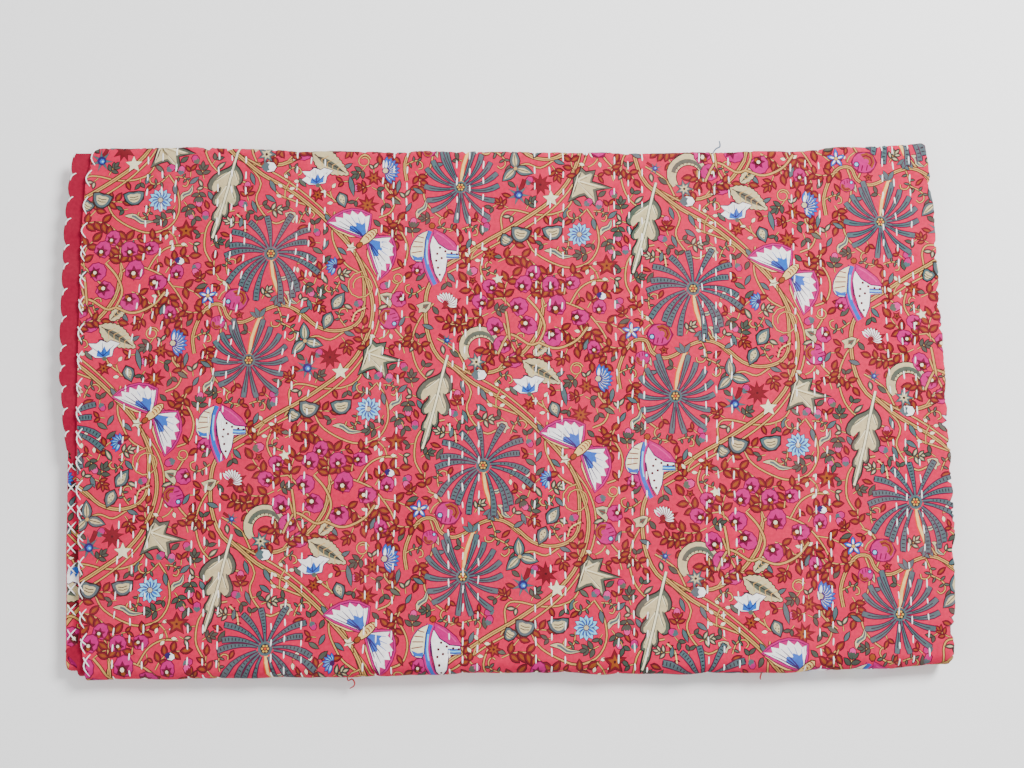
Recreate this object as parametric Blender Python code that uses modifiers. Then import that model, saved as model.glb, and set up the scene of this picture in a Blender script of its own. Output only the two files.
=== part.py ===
"""A kantha quilt, folded into a flat oblong pack.

The quilt is one sheet: a printed cotton and a plain one, laid back to back and stitched
through. It is folded in half from left to right, print outside, which leaves its two short
hems at the left and a fold at the right. That double strip is then folded in half twice from
front to back, so the pack has eight layers: a wide wrap round the front, a fold at the top of
the back, and the long hems at the back below it.

Metres, +Z up. +X is the folded right end, -Y the front wrap. The origin is at the middle of
the underside.
"""

import math

import bmesh
import bpy
from mathutils import Matrix, Vector

NAME = "kantha_quilt"

# --- cloth and layers ---
CLOTH_THICKNESS = 0.0018
LAYER_PITCH = 0.0026  # from the middle of one layer to the middle of the next
STRIP_PITCH = 2 * LAYER_PITCH  # the double strip counts two layers
UNDERSIDE = CLOTH_THICKNESS / 2  # height of the lowest layer's middle
INNER_FOLD_BACK = 0.0012  # how far the inner front fold sits behind the outer wrap's centre

# --- outline seen from above: where the front wrap and the back fold end, across the width ---
OUTLINE_COLUMNS = ("x", "front", "back")
OUTLINE = (
    (-0.320, -0.1972, 0.1952),
    (-0.240, -0.1963, 0.1965),
    (-0.125, -0.1950, 0.1930),
    (0.000, -0.1918, 0.1930),
    (0.100, -0.1928, 0.1920),
    (0.200, -0.1915, 0.1928),
    (0.260, -0.1893, 0.1965),
    (0.320, -0.1858, 0.1995),
)

# --- ends of each panel, at shares of the depth counted from the front ---
# upper_hem and lower_hem are the two short hems at the left, printed face out on the upper one
# of the top panel; fold is the outermost point of the right fold.
END_COLUMNS = ("share", "upper_hem", "lower_hem", "fold")
TOP_ENDS = (
    (0.00, -0.3000, -0.3120, 0.3205),
    (0.05, -0.3030, -0.3180, 0.3225),
    (0.14, -0.3060, -0.3010, 0.3235),
    (0.24, -0.3080, -0.3030, 0.3250),
    (0.36, -0.3115, -0.3060, 0.3240),
    (0.48, -0.3135, -0.3270, 0.3235),
    (0.60, -0.3150, -0.3310, 0.3225),
    (0.74, -0.3155, -0.3315, 0.3215),
    (0.88, -0.3160, -0.3325, 0.3205),
    (1.00, -0.3110, -0.3260, 0.3165),
)
SECOND_ENDS = (
    (0.00, -0.3100, -0.3150, 0.3180),
    (0.10, -0.3120, -0.3215, 0.3195),
    (0.42, -0.3100, -0.3225, 0.3215),
    (0.60, -0.3060, -0.3170, 0.3210),
    (1.00, -0.3070, -0.3230, 0.3155),
)
THIRD_ENDS = (
    (0.00, -0.3080, -0.3130, 0.3175),
    (0.50, -0.3150, -0.3090, 0.3190),
    (1.00, -0.3090, -0.3120, 0.3150),
)
BOTTOM_ENDS = (
    (0.00, -0.3010, -0.3050, 0.3195),
    (0.25, -0.3070, -0.3110, 0.3210),
    (0.60, -0.3110, -0.3060, 0.3225),
    (1.00, -0.3060, -0.3090, 0.3180),
)

# --- how the long hems at the back stay behind the back fold, and how the pack settles ---
THIRD_HEM_SETBACK = 0.0065
BOTTOM_HEM_SETBACK = 0.0035
SETTLE_COLUMNS = ("x", "height_share")
SETTLE = (
    (-0.330, 0.90),
    (-0.230, 0.97),
    (-0.080, 1.03),
    (0.070, 0.99),
    (0.220, 1.03),
    (0.325, 1.00),
)
SETTLE_WAVE = 0.012  # share of the height by which the top rises and falls from front to back
SETTLE_WAVELENGTH = 0.26

# --- mesh stations ---
RUN_SEGMENTS = 11
ACROSS_SEGMENTS = 10
WRAP_SEGMENTS = 8
FOLD_SEGMENTS = 6

# --- looks ---
GROUND_COLOUR = (0.78, 0.10, 0.15, 1.0)
CLOTH_ROUGHNESS = 0.85


def clear_scene():
    for obj in list(bpy.data.objects):
        bpy.data.objects.remove(obj)


def eased(share):
    """Smooth step from 0 to 1."""
    return share * share * (3 - 2 * share)


def looked_up(rows, key, column):
    """The named column's place in a table at a key, with a smooth pass between its rows."""
    if key <= rows[0][0]:
        return rows[0][column]
    for low, high in zip(rows, rows[1:]):
        if key <= high[0]:
            share = eased((key - low[0]) / (high[0] - low[0]))
            return low[column] + (high[column] - low[column]) * share
    return rows[-1][column]


def outline(x, side):
    return looked_up(OUTLINE, x, OUTLINE_COLUMNS.index(side))


def ends(rows, share):
    """(upper hem, lower hem, fold) of a panel at a share of its depth."""
    return tuple(looked_up(rows, share, END_COLUMNS.index(name)) for name in END_COLUMNS[1:])


def mixed(first, second, share):
    return tuple(a + (b - a) * eased(share) for a, b in zip(first, second))


# A panel is one run of the double strip from front to back. level counts strips from below.
PANELS = {
    "bottom": (0, BOTTOM_ENDS),
    "third": (1, THIRD_ENDS),
    "second": (2, SECOND_ENDS),
    "top": (3, TOP_ENDS),
}
# The strip's way through the pack: a run from its start share to its end share, or a turn.
ROUTE = (
    ("run", "bottom", 1.0, 0.0),
    ("turn", "bottom", "top", "front", WRAP_SEGMENTS),
    ("run", "top", 0.0, 1.0),
    ("turn", "top", "second", "back", FOLD_SEGMENTS),
    ("run", "second", 1.0, 0.0),
    ("turn", "second", "third", "front", FOLD_SEGMENTS),
    ("run", "third", 0.0, 1.0),
)


def level_height(level):
    """Height of the middle of a double strip."""
    return UNDERSIDE + LAYER_PITCH / 2 + level * STRIP_PITCH


def panel_span(panel, x):
    """(front, back) of a panel's flat run at x: from the centre of one turn to the next."""
    wrap_reach = 1.5 * STRIP_PITCH + LAYER_PITCH / 2 + CLOTH_THICKNESS / 2
    fold_reach = 0.5 * STRIP_PITCH + LAYER_PITCH / 2 + CLOTH_THICKNESS / 2
    front = outline(x, "front") + wrap_reach
    back = outline(x, "back") - fold_reach
    if panel in ("second", "third"):
        front += INNER_FOLD_BACK
    if panel == "third":
        back = outline(x, "back") - THIRD_HEM_SETBACK
    if panel == "bottom":
        back = outline(x, "back") - BOTTOM_HEM_SETBACK
    return front, back


def route_stations():
    """Each station along the strip: a function of x that gives its place and normal in the
    Y-Z plane, and its (upper hem, lower hem, fold)."""
    stations = []

    def run(panel, start, end):
        level, rows = PANELS[panel]
        way = 1 if end > start else -1
        for step in range(RUN_SEGMENTS + 1):
            share = start + (end - start) * step / RUN_SEGMENTS

            def place(x, share=share):
                front, back = panel_span(panel, x)
                return Vector((0, front + (back - front) * share, level_height(level)))

            stations.append((place, Vector((0, 0, way)), ends(rows, share)))

    def turn(first, second, side, segments):
        low, high = PANELS[first][0], PANELS[second][0]
        radius = abs(high - low) * STRIP_PITCH / 2
        middle = (level_height(low) + level_height(high)) / 2
        outward = -1 if side == "front" else 1
        at = 0.0 if side == "front" else 1.0
        first_ends, second_ends = ends(PANELS[first][1], at), ends(PANELS[second][1], at)
        rise = 1 if high > low else -1
        winding = 1 if (outward < 0) == (rise > 0) else -1  # upper layer outside, or inside
        for step in range(1, segments):
            angle = math.pi * step / segments
            spoke = Vector((0, outward * math.sin(angle), -rise * math.cos(angle)))

            def place(x, spoke=spoke):
                centre = panel_span(first, x)[0 if side == "front" else 1]
                return Vector((0, centre, middle)) + spoke * radius

            stations.append((place, spoke * winding, mixed(first_ends, second_ends, step / segments)))

    for kind, *rest in ROUTE:
        (run if kind == "run" else turn)(*rest)
    return stations


def across_stations():
    """Stations across the double strip: along the upper layer, round the fold, and back."""
    run = [step / ACROSS_SEGMENTS for step in range(ACROSS_SEGMENTS + 1)]
    arc = [math.pi * step / FOLD_SEGMENTS for step in range(1, FOLD_SEGMENTS)]
    upper = [("upper", share) for share in run]
    lower = [("lower", share) for share in reversed(run)]
    return upper + [("fold", angle) for angle in arc] + lower


def across_place(station, strip_ends):
    """(x, height over the strip's middle) of a station across the double strip."""
    kind, at = station
    upper_hem, lower_hem, fold = strip_ends
    radius = LAYER_PITCH / 2
    tangent = fold - radius - CLOTH_THICKNESS / 2
    if kind == "fold":
        return tangent + radius * math.sin(at), radius * math.cos(at)
    hem = upper_hem if kind == "upper" else lower_hem
    return hem + (tangent - hem) * at, radius if kind == "upper" else -radius


def settled(point):
    """The pack's top sinks a little towards its left end and is softly wavy."""
    column = SETTLE_COLUMNS.index("height_share")
    share = looked_up(SETTLE, point.x, column)
    share += SETTLE_WAVE * math.sin(2 * math.pi * (point.y + 0.3 * point.x) / SETTLE_WAVELENGTH)
    return Vector((point.x, point.y, UNDERSIDE + (point.z - UNDERSIDE) * share))


def folded_sheet():
    """The middle surface of the quilt: a flat grid whose points are moved to their folds."""
    along = route_stations()
    across = across_stations()
    bm = bmesh.new()
    bmesh.ops.create_grid(bm, x_segments=len(across) - 1, y_segments=len(along) - 1, size=1)
    for vert in bm.verts:
        i = round((vert.co.x + 1) / 2 * (len(across) - 1))
        j = round((vert.co.y + 1) / 2 * (len(along) - 1))
        place, normal, strip_ends = along[j]
        x, height = across_place(across[i], strip_ends)
        vert.co = settled(place(x) + Vector((x, 0, 0)) + normal * height)
    mesh = bpy.data.meshes.new(NAME)
    bm.to_mesh(mesh)
    bm.free()
    return mesh


def cloth_material():
    material = bpy.data.materials.new("printed_cotton")
    material.use_nodes = True
    shader = material.node_tree.nodes["Principled BSDF"]
    shader.inputs["Base Color"].default_value = GROUND_COLOUR
    shader.inputs["Roughness"].default_value = CLOTH_ROUGHNESS
    shader.inputs["Metallic"].default_value = 0.0
    return material


def thickened(obj):
    solid = obj.modifiers.new("cloth", "SOLIDIFY")
    solid.thickness = CLOTH_THICKNESS
    solid.offset = 0.0
    solid.use_even_offset = True
    solid.use_rim = True


def centred(obj):
    """Moves the mesh so that the middle of the solid's underside is at the origin."""
    evaluated = obj.evaluated_get(bpy.context.evaluated_depsgraph_get())
    corners = [Vector(corner) for corner in evaluated.bound_box]
    low = Vector(min(corner[axis] for corner in corners) for axis in range(3))
    high = Vector(max(corner[axis] for corner in corners) for axis in range(3))
    middle = (low + high) / 2
    obj.data.transform(Matrix.Translation((-middle.x, -middle.y, -low.z)))


def build():
    clear_scene()
    collection = bpy.data.collections.new(NAME)
    bpy.context.scene.collection.children.link(collection)
    quilt = bpy.data.objects.new(NAME, folded_sheet())
    quilt.data.materials.append(cloth_material())
    collection.objects.link(quilt)
    thickened(quilt)
    bpy.context.view_layer.update()
    centred(quilt)
    quilt.data.shade_smooth()
    quilt.data.set_sharp_from_angle(angle=math.radians(50))


build()
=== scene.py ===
"""Looks of the folded kantha quilt: its printed cloth, plain red reverse and hand stitches.

The quilt is drawn on flat cloth coordinates and then carried round its folds. "across" runs
from the upper short hem at the left to the right fold and back along the layer below; "along"
runs through the pack from its back hems, round the front wrap, over the top panel, down the
back fold and through the inner panels. On the top panel across and along are x and y.
The print is cut into the cloth's own mesh, so every outline of a motif is an edge of it.
"""

import math
import random

import bpy
import numpy as np
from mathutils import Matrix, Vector
from mathutils.geometry import delaunay_2d_cdt


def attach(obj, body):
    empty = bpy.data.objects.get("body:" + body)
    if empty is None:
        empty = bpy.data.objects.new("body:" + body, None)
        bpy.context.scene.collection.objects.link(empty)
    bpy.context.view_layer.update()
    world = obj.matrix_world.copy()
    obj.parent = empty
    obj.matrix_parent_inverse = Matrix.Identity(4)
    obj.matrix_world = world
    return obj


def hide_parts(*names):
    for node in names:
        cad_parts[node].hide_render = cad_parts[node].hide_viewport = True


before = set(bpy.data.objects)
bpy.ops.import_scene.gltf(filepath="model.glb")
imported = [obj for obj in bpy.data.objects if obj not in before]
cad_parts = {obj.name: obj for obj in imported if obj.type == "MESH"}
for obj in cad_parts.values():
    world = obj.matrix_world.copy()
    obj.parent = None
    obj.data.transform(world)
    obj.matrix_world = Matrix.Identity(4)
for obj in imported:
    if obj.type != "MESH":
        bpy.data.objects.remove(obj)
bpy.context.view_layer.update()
NODE, ROOT = "kantha_quilt", "root"

# ---------------------------------------------------------------- cloth and folds, in metres
CLOTH = 0.0018
LAYER_PITCH = 0.0026
STRIP_PITCH = 2 * LAYER_PITCH
UNDERSIDE = CLOTH / 2
INNER_FOLD_BACK = 0.0012
TURN = LAYER_PITCH / 2  # radius of the right fold's middle surface
FOLD_LENGTH = math.pi * TURN
WRAP_RADIUS = 1.5 * STRIP_PITCH
BEND_RADIUS = 0.5 * STRIP_PITCH
WRAP_LENGTH = math.pi * WRAP_RADIUS
BEND_LENGTH = math.pi * BEND_RADIUS
STRIP_REACH = LAYER_PITCH / 2 + CLOTH / 2  # from the double strip's middle to its face

# x, front, back: where the front wrap and the back fold end
OUTLINE = np.array((
    (-0.320, -0.1972, 0.1952), (-0.240, -0.1963, 0.1965),
    (-0.125, -0.1950, 0.1930), (0.000, -0.1918, 0.1930),
    (0.100, -0.1928, 0.1920), (0.200, -0.1915, 0.1928),
    (0.260, -0.1893, 0.1965), (0.320, -0.1858, 0.1995),
))
# share of the depth from the front, upper hem, lower hem, right fold
TOP_ENDS = np.array((
    (0.000, -0.3000, -0.3060, 0.3205), (0.030, -0.3020, -0.3148, 0.3217),
    (0.045, -0.3028, -0.3060, 0.3223), (0.140, -0.3060, -0.3010, 0.3235),
    (0.24, -0.3080, -0.3030, 0.3250), (0.36, -0.3115, -0.3060, 0.3240),
    (0.392, -0.3120, -0.3168, 0.3239), (0.415, -0.3124, -0.3212, 0.3238),
    (0.45, -0.3130, -0.3242, 0.3236), (0.50, -0.3138, -0.3262, 0.3234),
    (0.56, -0.3145, -0.3290, 0.3229), (0.66, -0.3152, -0.3302, 0.3220),
    (0.80, -0.3156, -0.3303, 0.3211), (0.86, -0.3159, -0.3304, 0.3206),
    (0.93, -0.3150, -0.3287, 0.3190), (1.00, -0.3110, -0.3265, 0.3165),
))
SECOND_ENDS = np.array((
    (0.00, -0.3100, -0.3150, 0.3180), (0.10, -0.3120, -0.3165, 0.3195),
    (0.25, -0.3110, -0.3188, 0.3203), (0.42, -0.3100, -0.3205, 0.3215),
    (0.60, -0.3060, -0.3170, 0.3210), (1.00, -0.3070, -0.3230, 0.3155),
))
THIRD_ENDS = np.array((
    (0.00, -0.3080, -0.3130, 0.3175), (0.50, -0.3150, -0.3090, 0.3190),
    (1.00, -0.3090, -0.3120, 0.3150),
))
BOTTOM_ENDS = np.array((
    (0.00, -0.3010, -0.3050, 0.3195), (0.25, -0.3070, -0.3110, 0.3210),
    (0.60, -0.3110, -0.3060, 0.3225), (1.00, -0.3060, -0.3090, 0.3180),
))
THIRD_HEM_SETBACK = 0.0065
BOTTOM_HEM_SETBACK = 0.0035
# x, share of the height
SETTLE = np.array(((-0.330, 0.90), (-0.230, 0.97), (-0.080, 1.03), (0.070, 0.99), (0.220, 1.03), (0.325, 1.00)))
SETTLE_WAVE, SETTLE_WAVELENGTH = 0.012, 0.26
CAD_LEFT = -0.3325  # the CAD's outermost hem, which the middle of the pack is counted from
MIDDLE = np.array(((CAD_LEFT + TOP_ENDS[:, 3].max()) / 2, (OUTLINE[:, 1].min() + OUTLINE[:, 2].max()) / 2, 0.0))

# small notches in the top panel's right fold: y, depth, half width
FOLD_NOTCHES = ((0.166, 0.0011, 0.005), (0.075, 0.0016, 0.006), (0.006, 0.0012, 0.006),
                (-0.104, 0.0017, 0.006), (-0.160, 0.0018, 0.005))
FOLD_WAVE = 0.00016
CRUMPLE_REACH = 0.016
LEAST_X, MOST_X = -0.34, 0.322


def eased(share):
    """0 to 1 with a smooth start and end."""
    share = np.clip(share, 0, 1)
    return share * share * (3 - 2 * share)


def looked_up(rows, key, column):
    """A table's column at an array of keys, with a smooth pass between its rows."""
    keys = rows[:, 0]
    at = np.clip(np.searchsorted(keys, key) - 1, 0, len(keys) - 2)
    share = eased((key - keys[at]) / (keys[at + 1] - keys[at]))
    values = rows[:, column]
    return values[at] + (values[at + 1] - values[at]) * share


def front_of(x):
    return looked_up(OUTLINE, x, 1) + WRAP_RADIUS + STRIP_REACH


def back_of(x):
    return looked_up(OUTLINE, x, 2) - BEND_RADIUS - STRIP_REACH


def stretches(x):
    """Where each stretch of the strip ends, counted along it, at x: bottom panel, front wrap,
    top panel, back fold, second panel, inner fold, third panel."""
    front, back = front_of(x), back_of(x)
    inner = front + INNER_FOLD_BACK
    bottom_start = front - WRAP_LENGTH - (looked_up(OUTLINE, x, 2) - BOTTOM_HEM_SETBACK - front)
    wrap_start = front - WRAP_LENGTH
    second_start = back + BEND_LENGTH
    inner_start = second_start + (back - inner)
    third_start = inner_start + BEND_LENGTH
    third_end = third_start + looked_up(OUTLINE, x, 2) - THIRD_HEM_SETBACK - inner
    return bottom_start, wrap_start, front, back, second_start, inner_start, third_start, third_end


def strip_ends(along, x):
    """(upper hem, lower hem, right fold) at an array of places along the strip."""
    bottom_start, wrap_start, front, back, second_start, inner_start, third_start, third_end = stretches(x)

    def between(start, end, first, last):
        share = np.clip((along - start) / (end - start), 0, 1)
        return first + (last - first) * share * share * (3 - 2 * share)

    found = []
    for column in (1, 2, 3):
        bottom = looked_up(BOTTOM_ENDS, 1 - (along - bottom_start) / (wrap_start - bottom_start), column)
        top = looked_up(TOP_ENDS, (along - front) / (back - front), column)
        second = looked_up(SECOND_ENDS, 1 - (along - second_start) / (inner_start - second_start), column)
        third = looked_up(THIRD_ENDS, (along - third_start) / (third_end - third_start), column)
        value = np.where(along < wrap_start, bottom, between(wrap_start, front, bottom, top))
        value = np.where(along > front, top, value)
        value = np.where(along > back, between(back, second_start, top, second), value)
        value = np.where(along > second_start, second, value)
        value = np.where(along > inner_start, between(inner_start, third_start, second, third), value)
        value = np.where(along > third_start, third, value)
        found.append(value)
    return found


def fold_start(along, x):
    """x where the right fold starts to bend."""
    return strip_ends(along, x)[2] - TURN - CLOTH / 2


def x_on_layer(across, bend_start):
    """x of places across the strip, on whichever side of the right fold they lie."""
    past = across - bend_start
    return np.where(past <= 0, across, np.where(past < FOLD_LENGTH, bend_start, bend_start - (past - FOLD_LENGTH)))


def crumple(place):
    """How far the right folds' edges are pushed in."""
    pushed = FOLD_WAVE * (1.6 + np.sin(place * 231) + 0.6 * np.sin(place * 417 + 1.3))
    for y, depth, width in FOLD_NOTCHES:
        pushed = pushed + depth * np.exp(-(((place - y) / width) ** 2))
    return pushed


def folded(across, along, lift):
    """World places of cloth points. lift is the height over the middle surface, positive on
    the printed side."""
    across, along, lift = np.broadcast_arrays(
        np.asarray(across, float), np.asarray(along, float), np.asarray(lift, float))
    x = np.clip(across, LEAST_X, MOST_X)
    for _ in range(3):
        bend_start = fold_start(along, x)
        x = x_on_layer(across, bend_start)
    angle = np.clip((across - bend_start) / TURN, 0, math.pi)
    height = (TURN + lift) * np.cos(angle)
    near = eased(1 - (bend_start - x) / CRUMPLE_REACH)
    _, wrap_start, front, back, second_start, inner_start, third_start, _ = stretches(x)
    x = x + (TURN + lift) * np.sin(angle)

    level = [UNDERSIDE + LAYER_PITCH / 2 + step * STRIP_PITCH for step in range(4)]
    y = along.copy()
    z = np.full_like(y, level[3])
    normal_y, normal_z = np.zeros_like(y), np.ones_like(y)

    def bend(mask, start, radius, centre_y, centre_z, turn_from, turn_way, outside):
        turn = turn_from + turn_way * (along - start) / radius
        cos, sin = np.cos(turn), np.sin(turn)
        y[mask] = (centre_y + radius * cos)[mask]
        z[mask] = (centre_z + radius * sin)[mask]
        normal_y[mask] = (outside * cos)[mask]
        normal_z[mask] = (outside * sin)[mask]

    def run(mask, place, height_at, way):
        y[mask] = place[mask]
        z[mask] = height_at
        normal_z[mask] = way

    middle = (level[0] + level[3]) / 2
    half = math.pi / 2
    run(along <= wrap_start, front + wrap_start - along, level[0], -1)
    bend((along > wrap_start) & (along < front), wrap_start, WRAP_RADIUS, front, middle, -half, -1, 1)
    bend((along > back) & (along < second_start), back, BEND_RADIUS, back,
         (level[2] + level[3]) / 2, half, -1, 1)
    run((along >= second_start) & (along <= inner_start), back - (along - second_start), level[2], -1)
    inner = front + INNER_FOLD_BACK
    bend((along > inner_start) & (along < third_start), inner_start, BEND_RADIUS, inner,
         (level[1] + level[2]) / 2, half, 1, -1)
    run(along >= third_start, inner + (along - third_start), level[1], 1)

    x = x - crumple(y) * near
    y = y + normal_y * height
    z = z + normal_z * height
    share = looked_up(SETTLE, x, 1)
    share = share + SETTLE_WAVE * np.sin(2 * math.pi * (y + 0.3 * x) / SETTLE_WAVELENGTH)
    z = np.where(z > UNDERSIDE, UNDERSIDE + (z - UNDERSIDE) * share, np.maximum(z, 0))
    return np.stack((x, y, z), axis=-1) - MIDDLE


# ---------------------------------------------------------------- rows of running stitch
ROW_GROUPS = (-0.2690, -0.2165, -0.1570, -0.0918, -0.0303, 0.0320, 0.0922, 0.1560, 0.2245, 0.2915)
ROW_PITCH = 0.0104
ROW_LEAN = 0.0115  # the rows at the left lean to the right towards the back
LEAN_FROM, LEAN_OVER = -0.01, 0.14
UPRIGHT_FROM, UPRIGHT_OVER = 0.05, 0.22  # further right the rows don't lean
WANDER, STRAY = (0.0005, 0.0011), 0.0009
DASH_LENGTH = (0.0054, 0.0072)
DASH_PITCH = (0.0112, 0.0134)
DASH_TURN = 0.10  # most that a dash strays from its row, as a slope
DASH_DIP, DIP_ACROSS, DIP_ALONG = 0.00055, 0.0021, 0.0036
SEAM_DIP, SEAM_ACROSS = 0.00016, 0.0016  # the groove that a row lies in
RIPPLE, RIPPLE_ACROSS, RIPPLE_LENGTH = 0.00020, 0.0056, 0.0123  # of the cloth between the dashes
STRIP_FROM, STRIP_TO = -0.62, 1.05
PUFF, PUFF_FROM, PUFF_OVER = 0.0005, 0.008, 0.022  # how high, and how far from a group of rows
WRINKLE, CREASE = 0.00028, 0.00018
ROW_REACH = 0.012  # how far a row's dips and ripples reach to its sides


class Row:
    """One row of running stitch: where it lies across the cloth, and its dashes."""

    def __init__(self, across, seed):
        draw = random.Random(seed)
        self.across = across
        self.phase = draw.uniform(0, 6.28)
        self.wander = draw.uniform(*WANDER)
        self.lean = ROW_LEAN * float(eased((UPRIGHT_FROM - across) / UPRIGHT_OVER))
        starts, ends, turns = [], [], []
        along = STRIP_FROM + draw.uniform(0, DASH_PITCH[1])
        while along < STRIP_TO:
            length = draw.uniform(*DASH_LENGTH)
            starts.append(along)
            ends.append(along + length)
            turns.append(draw.uniform(-DASH_TURN, DASH_TURN))
            along += draw.uniform(*DASH_PITCH)
        self.starts, self.ends = np.array(starts), np.array(ends)
        self.turns = np.array(turns)
        self.middles = (self.starts + self.ends) / 2

    def place(self, along):
        wander = self.wander * np.sin(along * 21 + self.phase)
        return self.across + wander + self.lean * eased((along - LEAN_FROM) / LEAN_OVER)


def running_rows():
    rows = []
    for group, middle in enumerate(ROW_GROUPS):
        for step in (-1, 0, 1):
            stray = random.Random(group * 7 + step).uniform(-STRAY, STRAY)
            rows.append(Row(middle + step * ROW_PITCH + stray, 100 + 10 * group + step))
    return rows


ROWS = running_rows()


def relief(across, along):
    """Height of the printed side over a smooth cloth: dips at the stitches, soft ripples
    between them and a low puff between the groups of rows."""
    high = np.zeros_like(across)
    for row in ROWS:
        beside = across - row.place(along)
        near = np.abs(beside) < ROW_REACH
        if not near.any():
            continue
        there, side = along[near], beside[near]
        at = np.clip(np.searchsorted(row.middles, there), 1, len(row.middles) - 1)
        pick = np.where(np.abs(row.middles[at] - there) < np.abs(row.middles[at - 1] - there), at, at - 1)
        away = there - row.middles[pick]
        dip = np.exp(-((side / DIP_ACROSS) ** 2) - (away / DIP_ALONG) ** 2)
        seam = np.exp(-((side / SEAM_ACROSS) ** 2))
        ripple = np.cos(2 * math.pi * away / RIPPLE_LENGTH) * np.exp(-((side / RIPPLE_ACROSS) ** 2))
        high[near] += -DASH_DIP * dip - SEAM_DIP * seam - RIPPLE * ripple
    groups = np.array(ROW_GROUPS)
    to_group = np.abs(across[..., None] - ROW_LEAN * 0.5 - groups).min(axis=-1)
    high += PUFF * eased((to_group - PUFF_FROM) / PUFF_OVER)
    high += WRINKLE * np.sin(across * 150 + 2.1 * np.sin(along * 41)) * np.sin(along * 97 + 1.7 * np.sin(across * 33))
    high += CREASE * np.sin(across * 61 - along * 210 + 1.3 * np.sin(across * 88))
    return high


# ---------------------------------------------------------------- inks, as reflectances
INKS = {
    "ground": (0.560, 0.008, 0.056),
    "teal": (0.055, 0.106, 0.118),
    "teal_dark": (0.010, 0.018, 0.024),
    "moss": (0.044, 0.064, 0.048),
    "plum": (0.058, 0.008, 0.034),
    "tan": (0.520, 0.290, 0.080),
    "tan_pale": (0.720, 0.500, 0.160),
    "bark": (0.050, 0.020, 0.010),
    "olive": (0.075, 0.050, 0.016),
    "cream": (0.520, 0.440, 0.235),
    "cream_pale": (0.780, 0.720, 0.470),
    "sage": (0.070, 0.094, 0.070),
    "sage_dark": (0.012, 0.013, 0.012),
    "magenta": (0.440, 0.007, 0.150),
    "magenta_dark": (0.130, 0.003, 0.034),
    "pink": (0.600, 0.030, 0.215),
    "wine": (0.150, 0.008, 0.014),
    "wine_dark": (0.058, 0.005, 0.009),
    "ochre": (0.250, 0.058, 0.010),
    "yellow": (0.600, 0.340, 0.050),
    "blue": (0.008, 0.110, 0.470),
    "blue_pale": (0.160, 0.560, 0.840),
    "blue_dark": (0.013, 0.012, 0.100),
    "white": (0.880, 0.870, 0.865),
    "violet": (0.040, 0.006, 0.062),
    "orange": (0.600, 0.060, 0.010),
}
INK_NAMES = list(INKS)
INK_LINEAR = np.array([INKS[name] + (1.0,) for name in INK_NAMES])
RED = np.array((0.270, 0.004, 0.028, 1.0))  # the plain reverse

# ---------------------------------------------------------------- drawing with flat shapes
# A motif is a list of (ink, points, is_fine) in print units, x to the right and y to the back.
# Fine parts are drawn only on the top panel.
PRINT_UNIT = 0.00072


def curve(points, count):
    """A smooth line through given points, sampled evenly in its parameter."""
    pts = np.asarray(points, float)
    pts = np.vstack((2 * pts[0] - pts[1], pts, 2 * pts[-1] - pts[-2]))
    out = []
    spans = len(pts) - 3
    for step in range(count):
        at = spans * step / (count - 1)
        span = min(int(at), spans - 1)
        t = at - span
        p0, p1, p2, p3 = pts[span:span + 4]
        out.append(0.5 * (2 * p1 + (p2 - p0) * t + (2 * p0 - 5 * p1 + 4 * p2 - p3) * t * t
                          + (3 * p1 - p0 - 3 * p2 + p3) * t ** 3))
    return np.array(out)


def unit(vectors, least=1e-9):
    """Vectors in the rows of an array, each at length 1."""
    return vectors / np.maximum(np.linalg.norm(vectors, axis=-1, keepdims=True), least)


def ribbon(path, half_widths):
    """The outline of a line with a width."""
    path = np.asarray(path, float)
    way = unit(np.gradient(path, axis=0))
    side = np.stack((-way[:, 1], way[:, 0]), axis=1)
    half = np.broadcast_to(np.asarray(half_widths, float), (len(path),))[:, None]
    return np.vstack((path + side * half, (path - side * half)[::-1]))


def grown(points, by):
    """An outline moved outward by a distance."""
    pts = np.asarray(points, float)
    before, after = np.roll(pts, 1, axis=0), np.roll(pts, -1, axis=0)
    area = np.sum(pts[:, 0] * after[:, 1] - after[:, 0] * pts[:, 1])
    way = unit(after - before)
    out = np.stack((way[:, 1], -way[:, 0]), axis=1) * (1 if area > 0 else -1)
    return pts + out * by


def polar(radii, angles):
    return np.stack((radii * np.cos(angles), radii * np.sin(angles)), axis=1)


def disc(x, y, radius, sides=6, squash=1.0):
    angles = np.arange(sides) * 2 * math.pi / sides
    return np.stack((x + radius * np.cos(angles), y + radius * squash * np.sin(angles)), axis=1)


def leaf_outline(length, width, points=4, belly=0.85):
    """A pointed leaf from (0, 0) to (length, 0)."""
    t = np.arange(1, points + 1) / (points + 1)
    half = width / 2 * np.sin(math.pi * t ** belly)
    upper = np.stack((length * t, half), axis=1)
    lower = np.stack((length * t[::-1], -half[::-1]), axis=1)
    return np.vstack(((0, 0), upper, (length, 0), lower))


def star_outline(outer, inner, points, turn=0.0):
    angles = np.arange(2 * points) * math.pi / points + turn
    return polar(np.where(np.arange(2 * points) % 2 == 0, outer, inner), angles)


def toothed(points, depth):
    """Every other point of an outline pushed outward."""
    pts = np.asarray(points, float)
    keep = (np.arange(len(pts)) % 2 == 0)[:, None]
    return np.where(keep, grown(pts, depth), pts)


def filled(ink, outline):
    return [(ink, np.asarray(outline), False)]


def fine(ink, *outlines):
    return [(ink, np.asarray(outline), True) for outline in outlines]


def edged(edge, by, ink, outline, inner=None):
    """A shape on a larger one in the ink of its edge. inner is the outline of the inked part,
    where that isn't the edge's own."""
    return filled(edge, grown(outline, by)) + filled(ink, outline if inner is None else inner)


def lines(ink, half, *paths):
    """Fine lines, each through its own points."""
    return fine(ink, *(ribbon(path, half) for path in paths))


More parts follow.
